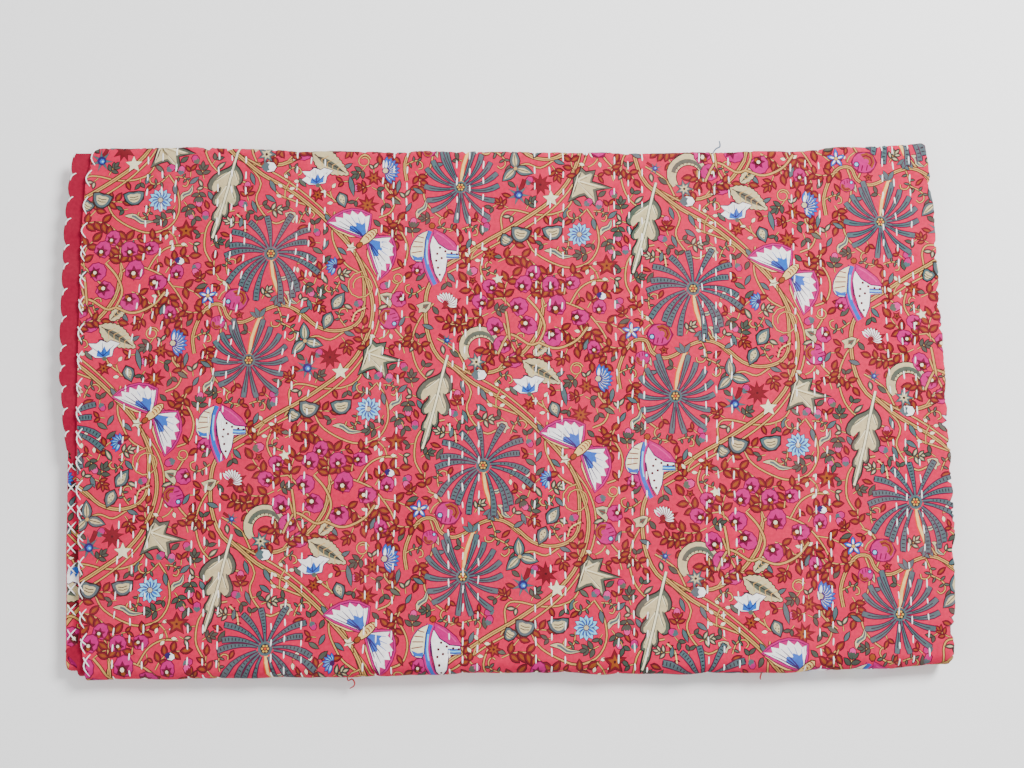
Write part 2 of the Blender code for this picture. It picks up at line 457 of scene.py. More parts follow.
def stroke(ink, points, half, count, edge=None, edge_by=0.7, core=None, is_fine=False):
    """A vine or stem: a ribbon with a darker edge, and a line down its middle if it is thick."""
    path = curve(points, count)
    made = [(edge, ribbon(path, half + edge_by), is_fine)] if edge else []
    made.append((ink, ribbon(path, half), is_fine))
    return made + (lines(core, 0.32, path) if core else [])


def placed(motif, x, y, angle=0.0, scale=1.0, flip=False):
    """A motif turned by an angle in degrees, scaled and moved."""
    cos, sin = math.cos(math.radians(angle)), math.sin(math.radians(angle))
    turn = np.array(((cos, sin), (-sin, cos)))
    return [(ink, np.asarray(pts, float) * (1, -1 if flip else 1) @ turn * scale + np.asarray((x, y)), is_fine)
            for ink, pts, is_fine in motif]


def stations(points, count):
    """(x, y, heading in degrees) at even steps of a curve."""
    path = curve(points, count)
    way = np.degrees(np.arctan2(*np.gradient(path, axis=0).T[::-1]))
    return [(*spot, turn) for spot, turn in zip(path, way)]


# ---------------------------------------------------------------- motifs
def palm(count, reach, ribs, seed):
    """A round bloom of long drooping petals, ribbed or plain, on a short stalk."""
    draw = random.Random(seed)
    made = stroke("tan_pale", ((1, -4), (2, -20), (7, -36), (12, -48)), 1.5, 6, "orange", 1.2)
    for turn in (-150, -115, -60):
        made += placed(edged("wine_dark", 0.6, "teal", leaf_outline(12, 4.5, 3)), 10, -44, turn)
    petals = []
    half = np.array((0.7, 1.0, 1.5, 2.1, 2.65, 2.5)) * reach / 50
    for step in range(count):
        heading = math.radians(-90 + 22 + (360 - 44) * step / (count - 1) + draw.uniform(-5, 5))
        length = reach * draw.uniform(0.84, 1.05) * (1.04 if math.sin(heading) < 0.2 else 0.92)
        droop = 0.34 * math.cos(heading) + draw.uniform(-0.10, 0.10)
        t = np.array((0.16, 0.33, 0.50, 0.67, 0.84, 1.0))
        angles = heading - droop * t ** 1.5
        petals.append(polar(t * length, angles))
    draw.shuffle(petals)
    for path in petals:
        for ink, past, halves in (("plum", 0.11, np.append(half + 1.0, 1.6)), ("teal", 0.06, np.append(half, 1.2))):
            made += filled(ink, ribbon(np.vstack((path, path[-1] + (path[-1] - path[-2]) * past)), halves))
        line = curve(path, 12 if ribs else 7)
        if not ribs:
            made += lines("teal_dark", 0.4, line[1:-1])
            continue
        way = unit(np.gradient(line, axis=0))
        halves = np.interp(np.linspace(0, 1, 12), np.linspace(0, 1, 6), half)
        for at in range(3, 12):
            side = np.array((-way[at, 1], way[at, 0])) * halves[at] * 0.62
            thick = way[at] * 0.5
            spot = line[at]
            made += fine("teal_dark", (spot + side - thick, spot + side + thick, spot - side + thick,
                                       spot - side - thick))
    made += filled("teal", disc(0, 0, 7.4 * reach / 50, 9)) + filled("teal_dark", disc(0, 0, 4.9, 8))
    for angle in (step * math.pi / 3 for step in range(6)):
        made += fine("yellow", disc(2.9 * math.cos(angle), 2.9 * math.sin(angle), 1.2, 5))
    return made + fine("orange", disc(0, 0, 1.4, 5))


def wing():
    """One wing, spread towards +y from the body at the origin."""
    under = np.array(((-1, 3), (-7, 12), (-15, 27), (-19, 37), (-16, 25), (-11, 13)))
    sail = np.array(((0, 2), (-7, 16), (-13, 29), (-17, 40), (-8, 39), (1, 36.5), (9, 32), (15, 25), (19, 16),
                     (12, 10), (5, 5)))
    made = edged("bark", 0.9, "tan_pale", under) + filled("magenta_dark", grown(sail, 3.2))
    made += filled("magenta", grown(sail, 2.4)) + fine("violet", grown(sail, 0.7)) + filled("white", sail)
    rim = sail[3:9]
    made += fine("magenta", *((one, two, (one + two) / 2 * 0.86) for one, two in zip(rim, rim[1:])))
    made += filled("blue", ((0, 2), (-7, 19), (-3, 22), (1, 17), (4, 20), (7, 14), (10, 14), (5, 6)))
    for x, y in ((-13, 33), (-8, 33), (-2, 31), (4, 28), (9, 23), (13, 17)):
        made += lines("blue_dark" if x < 0 else "blue", (0.7, 0.6, 0.45, 0.2),
                      curve(((0, 3), (x * 0.5, y * 0.55), (x, y)), 4))
    return made


def butterfly():
    """A butterfly, its body along x with the head at -x."""
    made = placed(wing(), 2, 0) + placed(wing(), 2, 0, flip=True)
    made += edged("bark", 1.1, "tan_pale", disc(5, 0, 11.5, 10, 0.36))
    made += lines("wine", 0.5, *(((x, -2.6), (x + 1, 0), (x, 2.6)) for x in (3, 6.5, 10, 13)))
    made += filled("bark", disc(-8, 0, 4.6, 8, 0.72)) + filled("ochre", disc(-7.6, 0, 3.2, 7, 0.72))
    for side in (-1, 1):
        made += stroke("bark", ((-11, side), (-16, 3 * side), (-19, 7 * side)), 0.45, 4, is_fine=True)
    return made


def bell_bloom():
    """A large spotted bell with a fringed cap and blue bands."""
    cap = ((4, 0), (16, -6), (27, -15), (33, -24), (22, -24), (10, -18), (3, -8))
    skirt = ((2, -6), (9, -17), (20, -24), (31, -25), (32, -33), (19, -34), (17, -48), (12, -60), (6, -50), (2, -34),
             (0, -18))
    band = ((18, -30), (25, -30.5), (32, -30))
    stem = ((0, -2), (-4, -14), (-5, -28), (-3, -42), (3, -57), (6, -63))
    fringe = curve(((-3, -2), (-13, -7), (-20, -17), (-22, -28), (-18, -35), (-9, -36), (-7, -24), (-6, -12)), 14)
    made = filled("wine_dark", disc(2, 4, 4.2, 7)) + filled("ochre", disc(2, 4, 3.2, 6))
    made += edged("magenta_dark", 1.0, "magenta", cap)
    made += stroke("pink", ((7, -4), (18, -11), (27, -20)), 0.7, 4, is_fine=True)
    made += edged("violet", 1.2, "white", skirt)
    made += stroke("blue", band, 2.2, 3, "violet", 0.6) + stroke("blue_pale", band, 0.8, 3, is_fine=True)
    made += fine("wine_dark", *(disc(x, y, 1.5, 6) for x, y in (
        (11, -21), (17, -25), (24, -27), (30, -28), (8, -28), (7, -36), (9, -44), (11, -52), (13, -33))))
    made += stroke("magenta", stem, 4.0, 9, "violet", 0.8) + stroke("blue", stem, 2.1, 9)
    made += stroke("blue_pale", ((-3, -12), (-4, -28), (-2, -40)), 0.8, 5, is_fine=True)
    made += edged("blue_dark", 1.1, "cream_pale", fringe)
    made += lines("wine", 0.55, ((-7, -10), (-14, -8)), ((-8, -15), (-18, -14)), ((-8, -20), (-20, -20)),
                  ((-9, -25), (-21, -27)))
    return made + filled("blue", ((-21, -29), (-18, -35), (-9, -36), (-8, -31), (-14, -32)))


def lobed_leaf():
    """A long pale leaf with deep rounded lobes, its stalk at the origin, along +x."""
    upper = ((0, 0.6), (7, 1.5), (11, 7), (17, 12), (24, 13), (27, 10), (26, 7), (31, 9), (38, 15), (46, 17), (50, 13),
             (48, 9), (47, 6), (53, 7), (59, 9), (64, 7), (62, 4), (68, 4), (76, 4.5), (84, 2), (92, 1))
    lower = ((0, -0.6), (8, -1), (14, -6), (19, -13), (28, -19), (37, -20), (40, -15), (35, -12), (32, -8), (39, -7),
             (44, -10), (51, -11), (54, -7), (51, -4), (58, -4), (64, -6), (70, -5), (70, -2), (76, -2), (84, -2))
    blade = np.vstack((curve(upper, 33), curve(lower, 33)[::-1])) * (0.86, 0.84)
    heart = np.stack((4 + blade[:, 0] * 0.90, blade[:, 1] * 0.78 + 0.1), axis=1)
    made = edged("sage_dark", 1.3, "sage", blade) + filled("cream", heart)
    for x, tip, y in ((8, 20, 8), (22, 37, 10), (36, 50, 6), (10, 26, -13), (24, 41, -7), (40, 56, -3)):
        made += lines("sage", (0.6, 0.5, 0.25), ((x, 0.5), ((x + tip) / 2, y * 0.42), (tip, y)))
        made += lines("cream_pale", (0.5, 0.25), ((x + 3, y * 0.1), (tip - 1, y * 0.8)))
    return made + stroke("cream_pale", ((-9, 0), (10, 0), (30, 1), (48, 1), (64, 1), (76, 0.4)), 0.9, 9, "sage", 0.6)


def serrated_leaf(length, width, teeth):
    heart = leaf_outline(length * 0.8, width * 0.36, 4, 0.85) + (length * 0.1, 0)
    made = edged("sage_dark", 1.0, "cream", toothed(leaf_outline(length, width, teeth * 2, 0.8), 1.0))
    made += filled("sage", heart)
    made += stroke("sage_dark", ((2, 0), (length / 2, 0.6), (length - 3, 0)), 0.45, 4, is_fine=True)
    return made + lines("tan", 0.35, *(((length * share, 0), (length * (share + 0.1), sign * width * 0.32))
                                       for share in (0.25, 0.4, 0.55, 0.7) for sign in (-1, 1)))


def crescent_leaf():
    path = polar(17, np.radians(np.linspace(205, -35, 15)))
    half = 5.2 * np.sin(np.linspace(0.12, 1, 15) * math.pi) ** 0.7 + 0.3
    made = filled("sage_dark", ribbon(path, half + 1.0)) + filled("cream", ribbon(path, half))
    made += filled("sage", ribbon(path[3:] * 0.93, half[3:] * 0.42))
    tips = [np.array((math.cos(angle), math.sin(angle))) for angle in np.radians(np.linspace(150, -10, 10))]
    return made + lines("sage_dark", 0.4, *((tip * 12.2, tip * 14.2) for tip in tips))


def ivy_leaf():
    """A pale leaf of long sharp points with its stalk at the origin, pointing along +x."""
    blade = np.array(((-2, 0), (0, 9), (-3, 18), (6, 17), (15, 27), (18, 17), (21, 11), (32, 15), (50, 22), (38, 11),
                      (33, 4), (42, -4), (52, -14), (38, -12), (25, -10), (19, -17), (12, -32), (9, -19), (5, -9)))
    middle = np.array((15, 0))
    made = edged("sage_dark", 2.0, "sage", blade) + filled("cream", middle + (blade - middle) * 0.76)
    for x, y in ((13, 20), (38, 15), (40, -9), (12, -23), (0, 13)):
        made += lines("cream_pale", (0.9, 0.7, 0.2), ((3, 0), (x * 0.6, y * 0.5), (x, y)))
        made += lines("bark", 0.3, ((5, -1), (x * 0.9, y * 0.62)))
    return made


def trefoil():
    blade = edged("sage_dark", 1.1, "teal", leaf_outline(19, 10, 4, 0.8))
    blade += filled("cream", leaf_outline(15, 5, 3, 0.8) + (1.5, 0)) + lines("sage_dark", 0.4, ((2, 0), (14, 0)))
    return sum((placed(blade, 0, 0, turn) for turn in (95, -15, -135)), []) + filled("tan", disc(0, 0, 2, 6))


def half_cup(width=19, depth=13):
    angles = np.radians(np.linspace(180, 360, 11))
    bowl = np.stack((width / 2 * np.cos(angles), depth * np.sin(angles)), axis=1)
    bowl = np.vstack((bowl, (width / 4, 1.5), (0, 0.6), (-width / 4, 1.8)))
    made = edged("sage_dark", 1.1, "teal", toothed(bowl, 0.9), bowl) + filled("cream", bowl * 0.68 + (0, -1.6))
    return made + lines("sage_dark", 0.4, *(((-4.5, y), (0, y - 1), (4.5, y)) for y in (-3.5, -6.2)))


def small_leaf(length=12, width=4.6, ink="teal", edge="sage_dark", heart=None):
    made = edged(edge, 0.95, ink, leaf_outline(length, width, 3))
    return made + (fine(heart, leaf_outline(length * 0.70, width * 0.52, 2) + (length * 0.14, 0)) if heart else [])


def leaflet(length, width):
    return small_leaf(length * 1.12, width * 1.08, "wine", "wine_dark", "ochre")


def fringe_flower(petals, outer, edge, tips, base, centre, full=True):
    """A flower of narrow pointed petals, all round or as a fan towards +x."""
    petal = edged(edge, 0.8, tips, leaf_outline(outer, outer * (0.42 if full else 0.36), 3, 1.15))
    petal += fine(base, leaf_outline(outer * 0.66, outer * 0.2, 2) + (outer * 0.1, 0))
    made = []
    for step in range(petals):
        made += placed(petal, 0, 0, 360 * step / petals if full else -75 + 150 * step / (petals - 1))
    return made + filled(edge, disc(0, 0, outer * 0.26, 7)) + filled(centre, disc(0, 0, outer * 0.2, 6))


def lily():
    """A wide five-tipped flower seen from the side, opening towards +y."""
    made = edged("violet", 0.9, "white", ((0, -9), (-8, -8), (-15, -2), (-10, 1), (-14, 7), (-6, 6), (-1, 9), (5, 6),
                                          (9, 8), (18, 4), (11, -1), (9, -8)))
    made += filled("blue", ((0, -9), (-7, -7), (-5, 0), (-2, -3), (2, 3), (4, -3), (8, 1), (7, -7)))
    made += lines("blue_dark", (0.5, 0.2), *(((0, -7), tip) for tip in ((-11, 3), (0, 7), (12, 3))))
    return made + filled("sage", disc(1, -10, 2.6, 6))


def frilled_bloom(radius=9.5, squash=0.94):
    """A frilled magenta pea flower, fanned out from a brown cup with a pale eye."""
    frill = radius * np.where(np.arange(15) % 2 == 0, 1.05, 0.97)
    fan = np.vstack((polar(frill, np.radians(np.linspace(-125, 125, 15))), (-radius * 0.75, 0))) * (1, squash)
    made = edged("magenta_dark", 1.0, "magenta", fan)
    made += filled("magenta_dark", star_outline(radius * 0.78, radius * 0.42, 6, 0.3) + (-radius * 0.24, 0))
    made += filled("wine_dark", disc(-radius * 0.36, 0, radius * 0.46, 7, 0.95))
    made += fine("ochre", disc(-radius * 0.52, -radius * 0.10, radius * 0.22, 5))
    return made + filled("cream_pale", disc(-radius * 0.24, radius * 0.04, radius * 0.2, 6))


def curled_bloom():
    """A half-open magenta flower with a striped heart."""
    bowl = disc(0, 0, 12, 12, 0.9)
    made = edged("magenta_dark", 0.9, "magenta", toothed(bowl, 1.4), bowl)
    for radius, ink in ((8.5, "ochre"), (6.4, "wine"), (4.2, "ochre")):
        turns = np.radians((-50, -5, 40, 85, 125))
        made += lines(ink, 1.0, [(2 + radius * math.cos(turn), 1 + radius * math.sin(turn)) for turn in turns])
    made += lines("magenta_dark", 0.6, *(((x, -9), (x + 1.5, -3)) for x in (-7, -3, 2)))
    return made + filled("violet", disc(-8, -2, 3.4, 6)) + fine("blue_pale", disc(-8, -2, 2.1, 6))


def bud(ink="magenta", cup="teal"):
    return edged("wine_dark", 0.8, ink, disc(5, 0, 4.6, 7, 0.8)) \
        + filled(cup, ((-1, 0), (2, 3.6), (5, 2.2), (4, 0), (5, -2.2), (2, -3.6)))


def star_flower(outer=12, points=8, ink="wine", edge="wine_dark", heart="ochre"):
    return edged(edge, 0.8, ink, star_outline(outer, outer * 0.45, points)) \
        + fine(heart, star_outline(outer * 0.6, outer * 0.26, points)) + fine(edge, disc(0, 0, 1.4, 5))


def navy_star():
    made = stroke("wine", ((0, 0), (3, 9), (5, 17)), 1.8, 4, "wine_dark", 0.6)
    made += edged("wine_dark", 0.5, "teal", star_outline(12, 4, 7)) + filled("blue_dark", disc(0, 0, 4.8, 8))
    return made + filled("blue", disc(0.5, -0.3, 2.8, 6)) + fine("blue_pale", disc(1, -0.6, 1.3, 5))


def spray(points, pairs, side, size=1.0):
    """A thin twig with wine-red leaflets in pairs along it."""
    made = stroke("tan", points, 0.6, max(4, pairs + 2), "bark", 0.5)
    spots = stations(points, pairs + 2)
    for step, (x, y, way) in enumerate(spots[1:-1], 1):
        for sign in (side, -side) if step % 2 else (side,):
            made += placed(leaflet(11 * size, 6 * size), x, y, way + sign * 58)
    return made + placed(leaflet(12 * size, 6.5 * size), *spots[-1])


def berries(points, count, side):
    """A twig with small drop-shaped pale seeds."""
    seed = stroke("olive", ((0, 0), (5, 0)), 0.4, 2)
    seed += edged("wine", 0.6, "cream_pale", leaf_outline(6, 3.6, 2) + (4, 0))
    made = stroke("tan", points, 0.6, 5, "olive", 0.5)
    for x, y, way in stations(points, count):
        for sign in (1, -1):
            made += placed(seed, x, y, way + sign * 65 * side)
    return made


def feathered_twig(points, count):
    made = stroke("tan_pale", points, 0.8, 6, "olive", 0.5)
    for x, y, way in stations(points, count):
        for sign in (1, -1):
            made += placed(fine("wine_dark", leaf_outline(4, 2, 1)), x, y, way + sign * 60)
    return made


def tendril(radius, turns=1.3):
    angles = np.linspace(0, turns * 2 * math.pi, int(12 * turns))
    path = polar(np.linspace(1, 0.55, len(angles)) * radius, angles)
    return filled("bark", ribbon(path, 1.15)) + filled("tan", ribbon(path, 0.6))


def spotted_leaf(length=20, width=12):
    blade = leaf_outline(length, width, 5, 0.8)
    made = edged("sage_dark", 1.0, "teal", toothed(blade, 0.9), blade)
    made += filled("cream", leaf_outline(length * 0.72, width * 0.56, 4, 0.8) + (length * 0.1, 0))
    spots = ((6, 1), (9, -1.4), (11, 1.2), (14, 0))
    return made + fine("sage_dark", *(disc(x * length / 20, y, 0.8, 4) for x, y in spots))


def pale_bell():
    bell = ((-2, 0), (3, 5), (9, 7), (12, 4), (16, 3), (13, -1), (14, -6), (8, -5), (2, -4))
    return edged("sage_dark", 0.9, "cream", bell) + filled("sage", ((0, 0), (7, 4), (9, 0), (7, -3))) \
        + lines("wine", 0.4, ((3, 0), (10, 1)))


def pale_star(size):
    return edged("olive", 0.6, "cream_pale", star_outline(size, size * 0.45, 5))


def wavy_leaf(length=22):
    path = curve(((0, 0), (length * 0.3, 1.8), (length * 0.62, -1.4), (length, 1.4)), 9)
    half = np.array((0.3, 1.5, 2.3, 2.5, 2.2, 2.3, 1.9, 1.2, 0.2))
    return filled("sage_dark", ribbon(path, half + 0.8)) + filled("cream", ribbon(path, half)) \
        + lines("teal", half[2:] * 0.45, path[2:])


def sprig(size, inks, tip):
    """A stem with leaves at its sides and a leaf or a bud at its end, about (0, 0)."""
    stem = ((-size * 1.05, -size * 0.25), (-size * 0.4, 0), (size * 0.2, size * 0.06))
    made = stroke("tan", stem, 0.5, 4, "bark", 0.6)
    blade = small_leaf(size * 0.95, size * 0.42, *inks)
    for x, turn in ((-0.55, 62), (-0.40, -66), (-0.02, 44), (0.04, -40)):
        made += placed(blade, size * x, 0, turn, 1.0 if x < -0.1 else 0.88)
    return made + placed(blade if tip == "leaf" else bud(tip, inks[0]), size * 0.2, size * 0.06, 4, 0.9)


def pair(size, inks):
    """Two leaves on a short stem, about (0, 0)."""
    made = stroke("tan", ((-size, -size * 0.2), (-size * 0.1, 0)), 0.45, 3, "bark", 0.5)
    for x, turn, share in ((-0.35, 52, 0.95), (-0.2, -30, 1.15)):
        made += placed(small_leaf(size * share, size * 0.46, *inks), size * x, 0, turn)
    return made


def curled_twig(size):
    """A thin bare twig that curls over, with a few narrow dark leaves."""
    bow = ((-size * 1.1, -size * 0.5), (-size * 0.5, size * 0.1), (size * 0.1, size * 0.45), (size * 0.8, size * 0.3),
           (size * 1.0, -size * 0.3), (size * 0.6, -size * 0.55))
    made = stroke("tan", bow, 0.6, 11, "bark", 0.75)
    for x, y, turn in ((-0.75, -0.2, -50), (-0.3, 0.25, 110), (0.2, 0.42, 60), (0.2, 0.40, -80)):
        made += placed(small_leaf(size * 0.62, size * 0.2, "sage", "sage_dark"), size * x, size * y, turn)
    return made


# ---------------------------------------------------------------- one repeat of the print
REPEAT_DOWN = np.array((0.003, -0.2875))
REPEAT_HALF_DROP = np.array((0.158, -0.1570))
BUTTERFLY_AT = np.array((-0.1007, 0.1240))  # one butterfly on the top panel, from the pack's middle
BUTTERFLY_IN_REPEAT = np.array((170.0, 310.0))

MAIN_VINE = ((35, 400), (62, 378), (90, 362), (118, 340), (140, 318), (160, 294), (172, 268), (179, 240), (176, 215),
             (165, 190), (148, 170), (128, 155), (105, 140), (80, 126), (55, 110), (36, 98), (24, 84), (18, 65),
             (20, 30), (33, 3), (58, -10), (88, -10), (113, 5), (133, 30), (138, 56))
CROSS_VINE = ((162, 292), (169, 270), (170, 246), (168, 228), (158, 217), (140, 213), (122, 218), (105, 232), (88, 240),
              (70, 236), (55, 226), (42, 222), (30, 228), (24, 240), (12, 240), (2, 228), (-5, 208), (-3, 190))
THIN_VINES = (
    ((85, 252), (95, 238), (112, 224), (130, 215)),
    ((177, 208), (172, 186), (166, 164), (150, 155), (130, 154), (112, 158), (100, 158), (95, 150), (96, 136),
     (91, 126)),
    ((120, 132), (128, 116), (146, 104), (166, 98), (186, 104), (196, 122), (193, 145), (184, 160)),
    ((138, 338), (136, 312), (144, 292), (152, 281), (164, 274)),
    ((36, 399), (60, 372), (56, 352), (64, 336), (76, 326), (88, 330)),
    ((72, 374), (78, 358), (96, 350), (118, 342)),
    ((20, 240), (24, 226), (22, 206), (14, 190), (16, 170), (24, 158), (34, 150)),
    ((196, 384), (190, 366), (200, 352), (196, 338), (184, 332)),
    ((110, 204), (122, 208), (136, 204), (150, 212), (164, 218)),
    ((60, -8), (52, 8), (40, 18), (30, 24)),
    ((113, 5), (104, 22), (98, 40)),
    ((133, 30), (118, 44), (106, 56), (96, 66)),
    ((138, 56), (150, 64), (166, 60), (182, 52), (196, 36), (206, 18)),
    ((138, 56), (136, 74), (130, 92)),
    ((30, 226), (36, 244), (28, 262), (18, 268)),
    ((118, 376), (124, 362), (136, 352)),
    ((40, 398), (58, 388), (84, 374), (108, 356), (130, 336), (150, 312), (158, 296)),
    ((164, 290), (178, 270), (186, 246), (184, 218), (172, 190), (154, 166), (130, 146), (104, 130), (78, 116),
     (54, 100), (40, 92)),
    ((26, 60), (12, 44), (4, 20), (10, -6), (26, -22), (50, -30)),
    ((206, 264), (196, 244), (198, 222), (210, 206), (222, 196)),
    ((12, 284), (4, 300), (6, 322), (18, 336), (34, 340)),
    ((190, 330), (206, 318), (214, 300), (210, 282), (198, 276)),
    ((96, 66), (82, 80), (74, 96), (78, 112)),
    ((166, 60), (176, 76), (190, 84), (206, 84)),
)
BLOOM_TWIGS = (((92, 8), (104, 28), (124, 18), (134, 20)), ((134, 20), (140, 36), (134, 52), (122, 66)),
               ((134, 20), (152, 14), (172, 22), (184, 36)), ((104, 24), (102, 40), (100, 52)))

SPACES = (  # bare places left in the repeat, and how far they reach
    (124, 252, 8.5), (82, 226, 8.5), (158, 4, 8.5), (6, 74, 8.5), (4, 140, 8.5), (153, 197, 8.5), (94, 213, 8.5),
    (178, 112, 8.5), (173, 154, 8.4), (47, 360, 8.2), (78, 340, 8.2), (38, 142, 8.2), (162, 379, 8.1),
    (108, 334, 8.1), (206, 122, 8), (0, 383, 7.9), (148, 228, 7.8), (148, 272, 7.8), (94, 382, 7.6),
    (216, 136, 7.6), (124, 238, 7.5), (161, 120, 7.5), (94, 54, 7.5), (84, 96, 7.3), (166, 364, 7.2),
    (70, 254, 7.2), (6, 208, 7.2), (95, 166, 7.2), (30, 282, 7.1), (112, 258, 7.1), (126, 167, 7.1), (64, 138, 7),
    (30, 328, 7), (138, 258, 7), (0, 270, 6.9), (17, 150, 6.9), (113, 23, 6.7), (18, 306, 6.7), (199, 154, 6.6),
    (211, 356, 6.5), (213, 112, 6.5), (207, 166, 6.5), (4, 46, 6.5), (184, 360, 6.4), (190, 344, 6.4),
    (40, 156, 6.3), (104, 151, 6.3), (39, 80, 6.3), (14, 396, 6), (144, 370, 6), (49, 336, 6), (118, 327, 6),
    (198, 194, 6), (214, 84, 6), (218, 148, 6), (89, 344, 5.9), (116, 306, 5.9), (49, 214, 5.9), (66, 345, 5.7),
    (106, 270, 5.7), (48, 138, 5.7), (106, 247, 5.6), (154, 149, 5.6), (156, 92, 5.6), (136, 122, 5.5),
    (216, 97, 5.5), (84, 161, 5.5), (176, 64, 5.5), (178, 386, 5.4), (158, 348, 5.4), (18, 260, 5.4),
    (188, 121, 5.4), (12, 26, 5.4), (59, 331, 5.3), (69, 150, 5.3), (154, 238, 5.2), (28, 53, 5.2), (164, 146, 5.1),
    (5, 346, 5.1), (200, 176, 5.1), (42, 230, 5), (142, 148, 5), (36, 12, 5), (182, 326, 4.9), (129, 318, 4.9),
    (40, 288, 4.9), (106, 186, 4.9), (66, 84, 4.9),
)
WIDE_SPACE, SPACE = 6.6, 5.3  # how far the spaces reach that take a sprig, or a pair of leaves

# inks of a leaf: its own, its edge's and its heart's
MOSS, TEAL, SAGE = (("moss", "sage_dark", None), ("teal", "sage_dark", None), ("sage", "sage_dark", None))
WINE, PALE = ("wine", "wine_dark", "ochre"), ("sage", "sage_dark", "cream")
SMALL_LEAVES = (  # x, y, angle, length, inks
    (26, 300, 60, 13, MOSS), (20, 316, -20, 11, WINE), (40, 322, 80, 11, TEAL), (116, 300, -30, 12, SAGE),
    (126, 284, 40, 12, MOSS), (132, 262, 120, 13, PALE), (112, 246, -70, 12, TEAL), (100, 320, 20, 11, WINE),
    (150, 330, 30, 12, MOSS), (196, 352, -30, 12, SAGE), (212, 338, 60, 11, TEAL), (182, 292, 150, 12, MOSS),
    (204, 288, -60, 11, WINE), (146, 262, -50, 12, TEAL), (184, 236, 20, 12, PALE), (8, 262, 200, 12, MOSS),
    (12, 214, 120, 11, WINE), (92, 222, 40, 11, WINE), (76, 246, -40, 12, TEAL), (100, 196, 70, 12, MOSS),
    (96, 176, -20, 11, WINE), (160, 150, 70, 12, TEAL), (170, 170, -40, 11, SAGE), (188, 176, -100, 12, MOSS),
    (206, 150, 40, 12, TEAL), (214, 128, -60, 11, WINE), (76, 132, 100, 12, MOSS), (96, 108, 160, 11, SAGE),
    (44, 118, -60, 12, TEAL), (8, 84, 40, 12, MOSS), (0, 60, -40, 11, WINE), (26, 34, 160, 12, TEAL),
    (2, 10, 60, 12, PALE), (118, -14, -30, 12, MOSS), (140, 14, -50, 11, TEAL), (208, 0, 60, 12, MOSS),
    (146, 384, 30, 11, TEAL), (100, 374, -50, 12, SAGE), (76, 398, 60, 11, WINE), (48, 404, 140, 12, MOSS),
    (14, 384, 40, 12, PALE), (6, 360, -60, 12, TEAL), (16, 352, 100, 11, WINE),
)

# Motifs in the order that they are laid down in, each with rows of its sizes and inks followed
# by x, y and, where they aren't 0, 1 and False, angle, scale and flip.
TWIG = ((0, 0), (9, 5), (20, 7), (30, 3))
LONG_TWIG = ((0, 0), (12, 8), (26, 10), (40, 4))
TWIGS = (
    (spray, *(((TWIG, 3, side, size), x, y, turn) for x, y, turn, size, side in (
        (100, 60, 70, 1.0, 1), (122, 66, 10, 0.9, -1), (140, 60, 80, 1.0, 1), (150, 36, -50, 0.9, -1),
        (128, 18, -80, 0.9, 1), (104, 30, -150, 0.9, -1), (82, 50, 175, 1.0, 1), (84, 20, -120, 0.8, 1),
        (160, 70, 50, 0.9, -1), (184, 56, 30, 0.9, 1), (196, 20, -90, 0.8, -1), (170, 24, -60, 0.8, 1),
        (66, 96, 110, 0.8, -1), (10, 236, 170, 0.8, 1), (206, 204, -30, 0.8, -1), (196, 300, 70, 0.9, 1),
        (206, 350, 110, 0.8, -1), (118, 262, 40, 0.8, 1), (88, 392, 20, 0.8, -1), (40, 44, -60, 0.8, 1),
        (178, 190, 100, 0.8, 1), (16, 120, -120, 0.8, 1)))),
    (spray, ((LONG_TWIG, 4, 1), 96, 66, 150), ((LONG_TWIG, 4, -1), 92, 104, -12),
     ((((0, 0), (14, 6), (28, 6), (40, 0)), 4, 1), 104, 116, 24, 0.9),
     ((((0, 0), (14, 8), (28, 8), (42, 0)), 4, -1), 168, 50, -62),
     ((((0, 0), (14, 8), (28, 10), (40, 6)), 3, 1), 192, 42, -40),
     ((((0, 0), (10, 6), (22, 6)), 3, 1, 0.8), 60, 40, 160),
     ((((0, 0), (10, -6), (22, -8)), 3, -1, 0.8), 206, 330, -80),
     ((((0, 0), (10, 6), (22, 4)), 3, 1, 0.8), 6, 200, -96), ((((0, 0), (10, 4), (20, 2)), 2, 1, 0.8), 20, 268, 100),
     ((((0, 0), (10, 4), (20, 2)), 2, -1, 0.8), 212, 190, 80)),
    (berries, ((((0, 0), (8, 6), (18, 8)), 3, 1), 86, 352, 52), ((((0, 0), (8, 4), (16, 4)), 3, 1), 186, 100, -70)),
    (feathered_twig, ((((0, 0), (8, -8), (10, -22)), 6), 36, 336), ((((0, 0), (10, 2), (20, -4)), 6), 158, 222, 60)),
    (tendril, ((15,), 167, 260, 90), ((7,), 168, 392, 20), ((6, 1.2), 204, 268, 200)),
    (small_leaf, *(((length, length * 0.36, *inks), x, y, turn) for x, y, turn, length, inks in SMALL_LEAVES)),
    (bud, *((("magenta", cup), x, y, turn) for x, y, turn, cup in (
        (18, 372, 40, "teal"), (104, 260, 150, "sage"), (160, 240, 20, "teal"), (176, 310, 10, "teal"),
        (214, 172, 120, "sage"), (122, 186, 60, "teal"), (84, 150, 200, "teal"), (4, 330, 90, "teal"),
        (66, 230, 250, "sage"), (212, 60, 30, "teal")))),
    (berries, *(((((0, 0), (6, 4), (13, 5)), 2, 1), *spot) for spot in (
        (140, 348, 100), (20, 246, 30), (196, 214, 200), (100, 284, 320), (64, 106, 40), (180, 30, 80)))),
)
